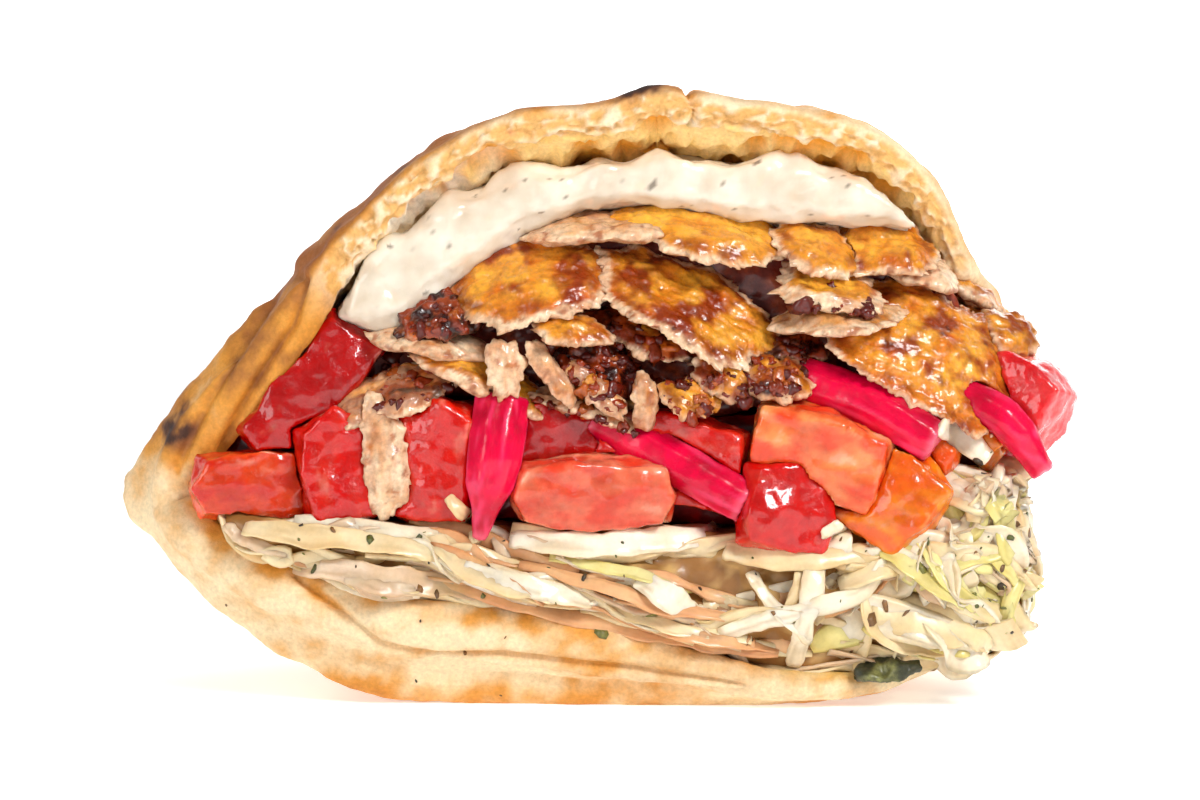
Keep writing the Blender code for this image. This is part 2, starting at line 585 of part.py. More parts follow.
def helper(mesh, name):
    """An object that only cuts or is joined, hidden from the render."""
    made = bpy.data.objects.new(name, mesh)
    made.hide_render = True
    made.display_type = "WIRE"
    bpy.context.scene.collection.objects.link(made)
    return made


def discard(made):
    mesh = made.data
    bpy.data.objects.remove(made)
    bpy.data.meshes.remove(mesh)


def enclosed(faces):
    """The volume inside a set of joined faces, which is negative for the skin of a hollow."""
    total = 0.0
    for face in faces:
        first = face.verts[0].co
        for a, b in zip(face.verts[1:], face.verts[2:]):
            total += first.dot(a.co.cross(b.co)) / 6
    return total


def largest_piece(mesh):
    """Drops loose scraps and fills hollows, by keeping only the largest set of joined triangles."""
    shape = bmesh.new()
    shape.from_mesh(mesh)
    bmesh.ops.triangulate(shape, faces=shape.faces)
    unseen, pieces = set(shape.faces), []
    while unseen:
        piece = [unseen.pop()]
        for face in piece:
            for edge in face.edges:
                for other in edge.link_faces if len(edge.link_faces) == 2 else ():
                    if other in unseen:
                        unseen.discard(other)
                        piece.append(other)
        pieces.append(piece)
    keep = max(pieces, key=enclosed)
    for piece in pieces:
        if piece is not keep:
            bmesh.ops.delete(shape, geom=piece, context="FACES")
    shape.to_mesh(mesh)
    shape.free()
    return mesh


def in_order(mesh):
    """The same mesh with its points and faces sorted, so that every run goes on from the same order."""
    points = np.array([v.co for v in mesh.vertices])
    order = np.lexsort(np.round(points, 7).T)
    rank = np.empty(len(order), int)
    rank[order] = np.arange(len(order))
    faces = []
    for polygon in mesh.polygons:
        corners = [int(rank[i]) for i in polygon.vertices]
        first = corners.index(min(corners))
        faces.append(tuple(corners[first:] + corners[:first]))
    made = bpy.data.meshes.new("sorted")
    made.from_pydata(points[order], [], sorted(faces))
    for kind in mesh.materials:
        made.materials.append(kind)
    return made


def with_modifier(target, kind, **settings):
    """The mesh of the target after one modifier."""
    change = target.modifiers.new(kind.lower(), kind)
    for name, value in settings.items():
        setattr(change, name, value)
    graph = bpy.context.evaluated_depsgraph_get()
    mesh = bpy.data.meshes.new_from_object(target.evaluated_get(graph))
    target.modifiers.clear()
    return mesh


def booleaned(target, operation, others):
    """The mesh of the target joined with, or cut by, the others."""
    group = bpy.data.collections.new("cutters")
    for other in others:
        group.objects.link(other)
    mesh = with_modifier(
        target, "BOOLEAN", operation=operation, operand_type="COLLECTION", collection=group, solver="MANIFOLD"
    )
    bpy.data.collections.remove(group)
    return in_order(largest_piece(mesh))


def whole(mesh):
    """Whether every edge joins exactly two faces, also once points that touch are made one."""
    shape = bmesh.new()
    shape.from_mesh(mesh)
    bmesh.ops.remove_doubles(shape, verts=shape.verts, dist=TOUCHING * MM)
    result = all(len(edge.link_faces) == 2 for edge in shape.edges)
    shape.free()
    return result


def lighten(made, most, others):
    """Brings an object down to about so many triangles, or more where it would then touch the others."""
    count = len(made.data.polygons)
    close = [tree_of(other.data) for other in others if near(made.data, other.data)]
    for share in LIGHTENINGS:
        if count <= most * share:
            break
        mesh = with_modifier(made, "DECIMATE", ratio=most * share / count)
        mesh = in_order(largest_piece(mesh))
        tree = tree_of(mesh)
        if whole(mesh) and not any(tree.overlap(other) for other in close):
            made.data = mesh
            break
    return made


def swollen(mesh):
    """A cutter: a copy of a shape, grown by the gap along its normals."""
    shape = bmesh.new()
    shape.from_mesh(mesh)
    shape.normal_update()
    moves = [v.normal * GAP * MM for v in shape.verts]
    for vertex, move in zip(shape.verts, moves):
        vertex.co += move
    grown = bpy.data.meshes.new("grown")
    shape.to_mesh(grown)
    shape.free()
    return helper(grown, "cutter")


def bounds(mesh):
    points = np.array([v.co for v in mesh.vertices])
    return points.min(axis=0), points.max(axis=0)


def near(a, b, margin=1.0):
    (low_a, high_a), (low_b, high_b) = bounds(a), bounds(b)
    return bool(np.all(low_a - margin * MM < high_b) and np.all(low_b - margin * MM < high_a))


def carve(made, cutters):
    """Cuts a piece back from the cutters of the pieces before it, as soft food gives where it is pressed."""
    for cutter in cutters:
        if near(made.data, cutter.data) and tree_of(made.data).overlap(tree_of(cutter.data)):
            made.data = booleaned(made, "DIFFERENCE", [cutter])
    return made


def tree_of(mesh):
    shape = bmesh.new()
    shape.from_mesh(mesh)
    tree = BVHTree.FromBMesh(shape)
    shape.free()
    return tree


def spill_mesh():
    """The rounded lump of slaw that pushes out of the open side."""
    centre, radii = SPILL
    shape = bmesh.new()
    bmesh.ops.create_icosphere(shape, subdivisions=2, radius=1.0)
    shape.verts.index_update()
    for vertex in shape.verts:
        swell = 1 + 0.2 * noise.noise(vertex.co * 1.4)
        vertex.co = Vector(centre) + Vector([c * r * swell for c, r in zip(vertex.co, radii)])
    points = [v.co.copy() for v in shape.verts]
    faces = [tuple(v.index for v in face.verts) for face in shape.faces]
    shape.free()
    return mesh_of(points, faces)


def leaf_mesh():
    """A dark wet herb leaf: a thin wavy oval with both faces split alike."""
    place, length, width, thick = HERB_LEAF
    rows, columns = 5, 3
    sheets = []
    for face in (1, -1):
        sheet = []
        for i in range(rows + 1):
            for j in range(columns + 1):
                u, v = 2 * i / rows - 1, 2 * j / columns - 1
                narrow = max(0.25, math.sqrt(max(0.0, 1 - u * u)))
                wave = 0.9 * math.sin(5 * u + 2 * v) + 0.5 * math.cos(4 * v)
                sheet.append((u * length / 2, v * narrow * width / 2, wave + face * thick / 2))
        sheets.append(sheet)
    count = (rows + 1) * (columns + 1)
    faces = []
    for i in range(rows):
        for j in range(columns):
            a = i * (columns + 1) + j
            b, c, d = a + 1, a + columns + 2, a + columns + 1
            faces += [(a, b, c), (a, c, d), (count + a, count + c, count + b), (count + a, count + d, count + c)]
    edge = [j for j in range(columns)]
    edge += [i * (columns + 1) + columns for i in range(rows)]
    edge += [rows * (columns + 1) + columns - j for j in range(columns)]
    edge += [(rows - i) * (columns + 1) for i in range(rows)]
    for a, b in zip(edge, edge[1:] + edge[:1]):
        faces.append((a, b, count + b, count + a))
    return mesh_of(placed([*sheets[0], *sheets[1]], place, 40, -8), faces)


def make_slaw(cutters):
    """The body of the slaw: the layer on the pocket's floor and the lump that spills from the open side."""
    slaw = new_object("slaw", layer_mesh(None, SLAW_TOP, SLAW_FRONT, rounded=True), "slaw")
    spill = helper(spill_mesh(), "spill")
    slaw.data = booleaned(slaw, "UNION", [spill])
    discard(spill)
    return carve(slaw, cutters)


def join_shreds(slaw, cutters):
    """Fuses to the slaw every shred that finds a clear place, moved forward or cut short if it must be."""
    trees = [tree_of(cutter.data) for cutter in cutters]
    heap = tree_of(slaw.data)
    for shred in SHREDS:
        choices = [(shift, shorten) for shorten in (0, 2, 4) for shift in np.arange(0, -MOST_SHIFT, -0.5)]
        for shift, shorten in choices:
            strip = helper(shred_mesh(shred, heap, float(shift), shorten), "shred")
            tree = tree_of(strip.data)
            joined = None
            if tree.overlap(heap) and not any(tree.overlap(other) for other in trees):
                joined = booleaned(slaw, "UNION", [strip])
            discard(strip)
            if joined and whole(joined):
                slaw.data = joined
                break


def make_fillings(bread):
    """The layers that run into the pocket, then every piece that shows, each cut clear of those before it."""
    pieces, cutters = [bread], [swollen(bread.data)]

    def add(name, kind, mesh):
        cutter = swollen(mesh)
        made = carve(new_object(name, mesh, kind), cutters)
        pieces.append(lighten(made, MOST_TRIANGLES.get(name, MOST_IN_PIECE), pieces))
        if name in MOST_TRIANGLES:
            discard(cutter)
            cutter = swollen(made.data)
        cutters.append(cutter)

    slaw = make_slaw(cutters)
    body = swollen(slaw.data)
    cutters.append(body)
    add("sauce", "sauce", layer_mesh(SAUCE_FLOOR, None, SAUCE_FRONT, rounded=True))
    add("chicken_bed", "chicken", layer_mesh(CHICKEN_FLOOR, SAUCE_FLOOR, LAYER_FRONT))
    add("tomato_bed", "tomato", layer_mesh(SLAW_TOP, CHICKEN_FLOOR, LAYER_FRONT))
    add("herb_leaf", "herb", leaf_mesh())
    for stick in PICKLE:
        add(stick.name, "pickle", stick_mesh(stick))
    cutters.remove(body)
    discard(body)
    join_shreds(slaw, cutters)
    lighten(slaw, MOST_TRIANGLES["slaw"], pieces)
    pieces.append(slaw)
    cutters += [swollen(slaw.data), helper(slaw.data.copy(), "cutter")]
    for cut in CHICKEN:
        add(cut.name, "chicken", slice_mesh(cut))
    for cut in TOMATO:
        add(cut.name, "tomato", chunk_mesh(cut))
    for cutter in cutters:
        discard(cutter)


def main():
    for old in list(bpy.data.objects):
        bpy.data.objects.remove(old)
    make_fillings(make_bread())


main()
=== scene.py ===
"""How the chicken pita looks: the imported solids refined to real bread, meat, fruit and leaf surfaces.

Lengths are written in millimetres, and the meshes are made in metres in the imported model's frame. X runs
along the mouth, Y into the pocket and Z up.
"""

import itertools
import json
import math
import random
from collections import namedtuple
from types import SimpleNamespace

import bmesh
import bpy
import numpy as np
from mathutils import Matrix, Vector
from mathutils import noise as soft_noise
from mathutils.bvhtree import BVHTree

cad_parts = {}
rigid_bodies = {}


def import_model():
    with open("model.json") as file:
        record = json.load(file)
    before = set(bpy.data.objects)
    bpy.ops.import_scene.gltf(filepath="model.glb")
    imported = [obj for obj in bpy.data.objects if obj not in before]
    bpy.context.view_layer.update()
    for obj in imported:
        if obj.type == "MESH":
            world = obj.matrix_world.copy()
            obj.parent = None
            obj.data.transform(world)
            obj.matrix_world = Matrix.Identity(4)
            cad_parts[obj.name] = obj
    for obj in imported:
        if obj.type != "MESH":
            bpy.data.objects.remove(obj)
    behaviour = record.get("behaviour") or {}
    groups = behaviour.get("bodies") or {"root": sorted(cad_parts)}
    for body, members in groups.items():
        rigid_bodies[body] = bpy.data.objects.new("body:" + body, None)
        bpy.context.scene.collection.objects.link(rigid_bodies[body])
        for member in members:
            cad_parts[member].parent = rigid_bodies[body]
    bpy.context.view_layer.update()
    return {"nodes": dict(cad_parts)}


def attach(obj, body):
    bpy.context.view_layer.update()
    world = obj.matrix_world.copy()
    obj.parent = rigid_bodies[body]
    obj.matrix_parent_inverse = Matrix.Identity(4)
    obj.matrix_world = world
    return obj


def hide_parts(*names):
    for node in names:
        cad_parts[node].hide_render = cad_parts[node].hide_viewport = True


for old in list(bpy.data.objects):
    bpy.data.objects.remove(old)
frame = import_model()
MM = 0.001
SEED = 11

# The pocket, as the solid has it.
BACK_Y = 52.0
SEAM_Z = 32.0
TOP_Z = 122.0
CLOSE_LOW = 0.12
CLOSE_HIGH = 1.35
BODY_WALL = 6.5
CRUMB_WALL = 11.0
BACK_WALL = 12.0
CURL_DEPTH = 0.05
LIP_BULGE = 2.4
SEAM_RIDGE = 2.2
SEAM_WIDTH = 6.0
BREAD_BUMP = 1.4
BREAD_AROUND = 640
BREAD_ROWS_OUT = 84
BREAD_ROWS_LIP = 22
BREAD_ROWS_IN = 40
Station = namedtuple("Station", "x z y wall curl")
RIM = [Station(*row) for row in (
    (-96, 40.5, -41, 11, 4.5), (-92, 54, -43, 11, 4.0), (-82, 67.5, -46, 11.5, 4.0),
    (-68, 81.5, -49, 9.5, 3.5), (-54, 97, -51, 7.5, 2.5), (-37, 111, -53, 7, 1.5),
    (-18, 119.5, -54, 7, 0.5), (0, 121.5, -54, 7, 0.5), (11, 124.5, -54, 8.5, 0.0),
    (22, 122.5, -54, 7, 0.0), (40, 120.5, -53, 7, 0.5), (57, 115, -51, 6.5, 0.5),
    (68.5, 105, -46, 6, 1.0), (76.5, 92, -36, 6, 1.0), (86, 78, -18, 6.5, 1.0),
    (91, 58, -4, 7, 1.5), (90, 38, -5, 7, 2.0), (84, 20, -17, 7, 2.0),
    (74, 8, -34, 6.5, 2.0), (59, 1.5, -46, 5, 1.5), (40, -1, -52, 6.0, 2.5),
    (20, -2, -53, 8.5, 5.5), (0, -1.5, -53, 11, 8.0), (-20, -0.5, -53, 11.5, 9.5),
    (-43, 1.5, -53, 12, 9.5), (-62, 9, -51, 10.5, 8.0), (-79, 19.5, -48, 10, 5.5),
    (-91, 31, -44, 10.5, 4.0),
)]
SEAM_ENDS = (0, 16)


def linear(red, green, blue):
    """A colour written as it looks on a screen, 0 to 255, as the light it reflects."""
    value = np.array((red, green, blue), float) / 255
    return np.where(value <= 0.04045, value / 12.92, ((value + 0.055) / 1.055) ** 2.4)


def smooth_step(value):
    value = np.clip(value, 0.0, 1.0)
    return value * value * (3 - 2 * value)


def above(value, low, width):
    """0 up to a low value, and 1 from a width past it."""
    return smooth_step((value - low) / width)


def mix(first, second, share):
    share = np.clip(np.asarray(share, float), 0, 1)
    return first + (second - first) * share[..., None]


def painted(tones, *coats):
    """Tones with screen colours laid over them in turn, each with its share."""
    for colour, share in coats:
        tones = mix(tones, linear(*colour), share)
    return tones


spread = np.random.default_rng(SEED).normal(size=(256, 3))
GRADIENTS = spread / np.linalg.norm(spread, axis=1)[:, None]


def noise(points, size, seed=0):
    """Smooth noise from about -1 to 1, in blobs of a size in millimetres."""
    place = points / size + seed * 17.31
    cell = np.floor(place).astype(np.int64)
    inside = place - cell
    ease = inside**3 * (inside * (inside * 6 - 15) + 10)
    total = np.zeros(len(points))
    for corner in itertools.product((0, 1), repeat=3):
        at = cell + corner
        mixed = (at[:, 0] * 73856093) ^ (at[:, 1] * 19349663) ^ (at[:, 2] * 83492791) ^ (seed * 40503)
        slope = GRADIENTS[(mixed ^ (mixed >> 13)) & 255]
        share = np.where(corner, ease, 1 - ease).prod(axis=1)
        total += ((inside - corner) * slope).sum(axis=1) * share
    return total * 1.6


def layered(points, size, seed=0, octaves=3):
    """Noise with finer noise on top of it."""
    return sum(noise(points, size / 2**k, seed + k) / 2**k for k in range(octaves))


def wobble(points, size, seed):
    """Noise in each of the three directions."""
    return np.column_stack([noise(points, size, seed + k) for k in range(3)])


def eased(rows, rounds):
    """Smooths rows in place along their length, and keeps both ends."""
    for _ in range(rounds):
        rows[1:-1] = (rows[:-2] + 2 * rows[1:-1] + rows[2:]) / 4


def outer_faces(points, quads):
    """The faces, turned so that the shape they enclose isn't inside out."""
    a, b, c = (points[quads[:, k]] for k in range(3))
    return quads if np.einsum("ij,ij->", a, np.cross(b, c)) > 0 else quads[:, ::-1]


def tube_faces(rows, around):
    """The side faces of a tube whose points stand in rows around it, and the faces of its two ends."""
    row, column = np.divmod(np.arange((rows - 1) * around), around)
    after = (column + 1) % around
    here, behind = row * around, (row + 1) * around
    sides = np.column_stack([here + column, here + after, behind + after, behind + column])
    return sides, (list(range(around)), list(range((rows - 1) * around, rows * around)))


def mesh_of(name, points, faces):
    mesh = bpy.data.meshes.new(name)
    mesh.from_pydata(points.tolist(), [], faces if isinstance(faces, list) else faces.tolist())
    return mesh


def new_piece(name, points, faces, tones, wet):
    """An object of points in millimetres, with a colour at each point and how wet it is there."""
    mesh = mesh_of(name, points * MM, faces)
    colours = mesh.color_attributes.new("tone", "FLOAT_COLOR", "POINT")
    full = np.column_stack([np.clip(tones, 0.0, 1.0), np.ones(len(points))])
    colours.data.foreach_set("color", full.astype(np.float32).ravel())
    wetness = mesh.attributes.new("wet", "FLOAT", "POINT")
    shares = np.broadcast_to(np.clip(wet, 0, 1), len(points)).astype(np.float32)
    wetness.data.foreach_set("value", shares)
    mesh.shade_smooth()
    made = bpy.data.objects.new(name, mesh)
    bpy.context.scene.collection.objects.link(made)
    return made


def vectors_of(values, key):
    """The vectors that a mesh stores, as rows."""
    out = np.empty(len(values) * 3, np.float32)
    values.foreach_get(key, out)
    return out.reshape(-1, 3).astype(float)


def normals_of(points, faces):
    """Outward directions at the points of a mesh."""
    mesh = mesh_of("scratch", points, faces)
    out = vectors_of(mesh.vertex_normals, "vector")
    bpy.data.meshes.remove(mesh)
    return out


def set_piece(made, slot, look, *nodes):
    """Gives a piece its material and its place on the body, and hides the solids that it stands for."""
    made.data.materials.clear()
    made.data.materials.append(look)
    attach(made, "root")
    if nodes:
        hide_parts(*nodes)
    return made


def dress(name, points, quads, tones, wet, slot, look, node):
    """The piece that stands for a solid, made from its refined points."""
    faces = outer_faces(points - points.mean(axis=0), quads)
    return set_piece(new_piece(name, points, faces, tones, wet), slot, look, node)


# Materials: each food's own shader, fed by the colours and wetness that its mesh carries.


def food_material(name, tones, grain, bumps, rough, **sockets):
    """A material whose colour is the mesh's own, varied by grain, with layers of bump and wet patches."""
    made = bpy.data.materials.new(name)
    made.use_nodes = True
    nodes, links = made.node_tree.nodes, made.node_tree.links
    shader = nodes["Principled BSDF"]

    def node(kind, **settings):
        added = nodes.new(kind)
        for key, value in settings.items():
            if hasattr(added, key):
                setattr(added, key, value)
            else:
                added.inputs[key.replace("_", " ")].default_value = value
        return added

    def link(source, output, target, socket):
        links.new(source.outputs[output], target.inputs[socket])

    where = node("ShaderNodeTexCoord")
    tone = node("ShaderNodeAttribute", attribute_name="tone")
    wet = node("ShaderNodeAttribute", attribute_name="wet")
    fine = node("ShaderNodeTexNoise", Scale=grain, Detail=4.0, Roughness=0.6)
    link(where, "Object", fine, "Vector")
    level = node("ShaderNodeMapRange", From_Min=0.3, From_Max=0.7, To_Min=tones[0], To_Max=tones[1])
    link(fine, "Fac", level, "Value")
    tinted = node("ShaderNodeVectorMath", operation="SCALE")
    link(tone, "Color", tinted, 0)
    link(level, "Result", tinted, "Scale")
    link(tinted, "Vector", shader, "Base Color")
    patchy = node("ShaderNodeMath", operation="MULTIPLY_ADD")
    patchy.inputs[1].default_value = 0.5
    link(fine, "Fac", patchy, 0)
    link(wet, "Fac", patchy, 2)
    gloss = node("ShaderNodeMapRange", From_Min=0.25, From_Max=1.25, To_Min=rough[0], To_Max=rough[1])
    link(patchy, 0, gloss, "Value")
    link(gloss, "Result", shader, "Roughness")
    last = None
    for kind, scale, strength, distance in bumps:
        if kind == "cells":
            pattern = node("ShaderNodeTexVoronoi", Scale=scale)
        else:
            pattern = node("ShaderNodeTexNoise", Scale=scale, Detail=5.0, Roughness=0.65)
        link(where, "Object", pattern, "Vector")
        raised = node("ShaderNodeBump", Strength=strength, Distance=distance * MM)
        link(pattern, 0, raised, "Height")
        if last:
            link(last, "Normal", raised, "Normal")
        last = raised
    if last:
        link(last, "Normal", shader, "Normal")
    for key, value in sockets.items():
        shader.inputs[key.replace("_", " ")].default_value = value
    return made


def soft(weight, reach, radius=(1.0, 0.5, 0.3)):
    """How far light travels under a surface."""
    return {"Subsurface_Weight": weight, "Subsurface_Radius": radius, "Subsurface_Scale": reach * MM}


BREAD = food_material(
    "baked_bread", (0.84, 1.1), 1100.0, (("noise", 420.0, 0.5, 0.6), ("noise", 1500.0, 0.45, 0.25)),
    (0.8, 0.45), **soft(0.12, 1.5),
)
SAUCE = food_material(
    "garlic_sauce", (0.97, 1.03), 500.0, (("noise", 260.0, 0.25, 0.5),), (0.42, 0.14),
    Coat_Weight=0.35, Coat_Roughness=0.12, **soft(0.35, 2.0, (1.0, 0.8, 0.6)),
)
LEAF = food_material(
    "shredded_cabbage", (0.92, 1.06), 700.0, (("noise", 330.0, 0.25, 0.4), ("noise", 1400.0, 0.15, 0.15)),
    (0.5, 0.2), Coat_Weight=0.25, Coat_Roughness=0.12, Specular_IOR_Level=0.35,
    **soft(0.25, 1.6, (1.0, 0.7, 0.4)),
)
MEAT = food_material(
    "roast_chicken", (0.7, 1.2), 800.0, (("noise", 500.0, 0.6, 0.5), ("cells", 900.0, 0.35, 0.3)),
    (0.6, 0.16), Coat_Weight=0.5, Coat_Roughness=0.1, Specular_IOR_Level=0.3,
    **soft(0.12, 1.2, (1.0, 0.45, 0.2)),
)
FRUIT = food_material(
    "diced_tomato", (0.84, 1.14), 420.0, (("noise", 300.0, 0.45, 0.8), ("noise", 900.0, 0.5, 0.35)),
    (0.36, 0.08), Coat_Weight=0.8, Coat_Roughness=0.04, Specular_IOR_Level=0.25,
    **soft(0.4, 3.5, (1.0, 0.2, 0.08)),
)
ROOT = food_material(
    "pickled_turnip", (0.88, 1.1), 500.0, (("noise", 350.0, 0.3, 0.4), ("noise", 1600.0, 0.15, 0.15)),
    (0.45, 0.16), Coat_Weight=0.35, Coat_Roughness=0.08, Specular_IOR_Level=0.2,
    **soft(0.2, 2.5, (1.0, 0.2, 0.4)),
)
HERB = food_material(
    "dried_herb", (0.6, 1.4), 1500.0, (("noise", 900.0, 0.6, 0.3),), (0.6, 0.25), Coat_Weight=0.3,
)

# The bread.


def curve_point(a, b, c, d, t):
    """The place a share t of the way from b to c, on the smooth curve through four places."""
    return b + 0.5 * t * (c - a + t * (2 * a - 5 * b + 4 * c - d + t * (3 * b - a - 3 * c + d)))


def closed_curve(rows, count):
    """Evenly spaced rows on the closed curve through rows whose first two columns are x and z."""
    rows = np.asarray(rows, float)
    total = len(rows)
    fine = []
    for step in np.linspace(0, total, total * 16, endpoint=False):
        i = int(step)
        fine.append(curve_point(*(rows[(i + k) % total] for k in (-1, 0, 1, 2)), step - i))
    fine = np.array(fine + fine[:1])
    steps = np.linalg.norm(np.diff(fine[:, :2], axis=0), axis=1)
    along = np.concatenate([[0], np.cumsum(steps)])
    wanted = np.linspace(0, along[-1], count, endpoint=False)
    return np.column_stack([np.interp(wanted, along, column) for column in fine.T])


def outward(x, z):
    """Unit normals, in the mouth's plane, of a closed outline that runs clockwise from the front."""
    dx, dz = np.roll(x, -1) - np.roll(x, 1), np.roll(z, -1) - np.roll(z, 1)
    length = np.hypot(dx, dz)
    return -dz / length, dx / length


def deepen(x, z, depth, front_y, back_y):
    """Carries points of the mouth's plane into the pocket: depth 0 is the mouth and 1 the back seam."""
    near, far = np.cos(depth * np.pi / 2), np.sin(depth * np.pi / 2)
    closing = CLOSE_LOW + (CLOSE_HIGH - CLOSE_LOW) * np.clip(z / TOP_Z, 0, 1)
    y = front_y + (back_y - front_y) * far
    return np.column_stack([x * near, np.broadcast_to(y, x.shape), SEAM_Z + (z - SEAM_Z) * near**closing])


def wall_at(stations, depth):
    """The bread's thickness: the rim's at the mouth, thick under the top flap, and thinner behind."""
    z, rim_wall = stations[:, 1], stations[:, 3]
    roof = above(z, 80, 25)
    crumb = roof * (CRUMB_WALL - BODY_WALL) * smooth_step(depth / 0.1)
    crumb = crumb * (1 - above(depth, 0.3, 0.4))
    return rim_wall + (BODY_WALL - rim_wall) * smooth_step(depth / 0.25) + crumb


def bread_section(stations, depth, inset=0.0):
    """x and z, in the mouth's plane, of the bread's outline at a depth, moved in by inset."""
    x, z, curl = stations[:, 0], stations[:, 1], stations[:, 4]
    out_x, out_z = outward(x, z)
    inset = inset + curl * (1 - smooth_step(depth / CURL_DEPTH))
    return x - out_x * inset, z - out_z * inset


def seam_ridge(x, z):
    """How far the joined edge of the flaps stands out, from the left corner and the open side."""
    ridge = np.zeros_like(x)
    for end in SEAM_ENDS:
        away = np.hypot(x - RIM[end].x, z - RIM[end].z)
        ridge += SEAM_RIDGE * np.exp(-((away / SEAM_WIDTH) ** 2))
    return ridge


def bread_rings():
    """The rings of the bread from its back over the outside, round the lip and back along the inside.

    Each ring comes with its share of the way through the wall, 0 outside and 1 inside, and its depth.
    """
    stations = closed_curve(RIM, BREAD_AROUND)
    rim_y = stations[:, 2]
    rings = []
    for depth in np.linspace(0.975, 0, BREAD_ROWS_OUT) ** 1.45:
        x, z = bread_section(stations, depth)
        ring = deepen(x, z, depth, rim_y, BACK_Y)
        out_x, out_z = outward(x, z)
        offset = Vector((SEED * 7.3, SEED * 3.1, SEED * 1.7))
        lift = np.array([BREAD_BUMP * soft_noise.noise(Vector(p) / 17 + offset) for p in ring])
        lift = (lift + seam_ridge(x, z) * (1 - depth)) * smooth_step(depth / 0.05)
        ring[:, 0] += out_x * lift
        ring[:, 2] += out_z * lift
        rings.append((ring, 0.0, depth))
    for share in np.linspace(0, 1, BREAD_ROWS_LIP + 2)[1:-1]:
        x, z = bread_section(stations, 0.0, wall_at(stations, 0.0) * share)
        ring = deepen(x, z, 0.0, rim_y, BACK_Y)
        ring[:, 1] -= LIP_BULGE * math.sin(math.pi * share) ** 0.6
        rings.append((ring, share, 0.0))
    for depth in np.linspace(0, 0.975, BREAD_ROWS_IN) ** 1.6:
        x, z = bread_section(stations, depth, wall_at(stations, depth))
        rings.append((deepen(x, z, depth, rim_y, BACK_Y - BACK_WALL), 1.0, depth))
    return stations, rings


def near_line(x, z, line, width):
    """How close points of the mouth's plane are to a line drawn on it: 1 on the line, and 0 far off."""
    best = np.full(len(x), 1e9)
    for (ax, az), (bx, bz) in zip(line, line[1:]):
        length = (bx - ax) ** 2 + (bz - az) ** 2
        share = np.clip(((x - ax) * (bx - ax) + (z - az) * (bz - az)) / length, 0, 1)
        best = np.minimum(best, np.hypot(x - ax - share * (bx - ax), z - az - share * (bz - az)))
    return np.exp(-((best / width) ** 2))


# Creases: x and z along each, its width, and how deep it is. Char: the middle of each spot, its radius and
# how strong it is.
CREASES = (
    (((-61, 27), (-52, 20), (-44, 13), (-32, 10.5), (-20, 11), (-6, 9.5), (8, 8), (28, 5)), 0.9, 1.0),
    (((-50, 11), (-38, 7), (-24, 6.5), (-10, 5.5), (10, 4.5), (30, 3.5)), 0.7, 0.5),
    (((-77, 49), (-73, 58), (-67, 68), (-61, 77), (-59, 86)), 1.1, 1.0),
    (((-86, 47), (-80, 60), (-72, 73), (-63, 88)), 1.3, 0.8),
    (((17, 125), (18.5, 119), (17, 113)), 0.7, 0.9),
)
CHAR = (
    ((-86, -42, 56), 5.2, 1.0), ((-83, -38, 62), 3.0, 0.6), ((8.5, -53, 124), 6.0, 1.0),
    ((1, -50, 122.5), 3.5, 0.7), ((-40, -50, 108.5), 2.6, 0.6), ((-53, -48, 97), 2.2, 0.6),
    ((-63, -47, 87), 2.2, 0.5), ((-92, -20, 45), 5.0, 0.6), ((-20, 5, 112), 7.0, 0.75),
    ((30, -12, 118), 6.0, 0.6), ((-55, 0, 84), 6.5, 0.7), ((12, 30, 88), 7.0, 0.75),
    ((55, 12, 88), 6.0, 0.6), ((-25, 38, 70), 6.0, 0.65), ((20, 47, 52), 5.0, 0.6),
    ((62, 25, 60), 6.0, 0.6), ((-70, 20, 58), 5.5, 0.6), ((-45, 28, 78), 4.0, 0.6),
)


def bowls(points, centres, radii):
    """How deep each point lies in round hollows about the centres, from 0 to 1."""
    depth = np.zeros(len(points))
    for centre, radius in zip(centres, radii):
        away = np.linalg.norm(points - centre, axis=1) / radius
        depth = np.maximum(depth, np.where(away < 1, 1 - away**2, 0))
    return depth


# The bread's marks: how many there are, and their radii in millimetres.
HOLES = 1000
HOLE_RADII = (0.6, 1.7)
CAVES = 34
CAVE_RADII = (2.2, 5.2)
BLISTERS = 150
BLISTER_RADII = (2.5, 8.0)
CREASE_DEPTH = 1.9
# Where juice and oil have soaked in, and the bread's colours as they look on a screen.
STAIN = ((10, 8), (24, 8), (38, 9))
OIL = ((38, 11), (48, 9.5), (58, 9.5))
# The roof and cave tones are painted lighter against the shade under the top flap; the hole and pore tones
# are painted shade.
BAKED = SimpleNamespace(
    pale=(241, 217, 175), golden=(218, 156, 76), amber=(214, 142, 44), brown=(138, 76, 22),
    crumb=(244, 224, 190), dry_crumb=(224, 172, 100), pore=(206, 150, 84), roof=(252, 206, 116),
    cave=(238, 160, 44), smear=(236, 224, 206), pink=(228, 120, 104), rim=(156, 88, 26),
    stain=(204, 150, 80), oil=(206, 186, 60), scorched=(96, 50, 24), charred=(38, 22, 15),
)


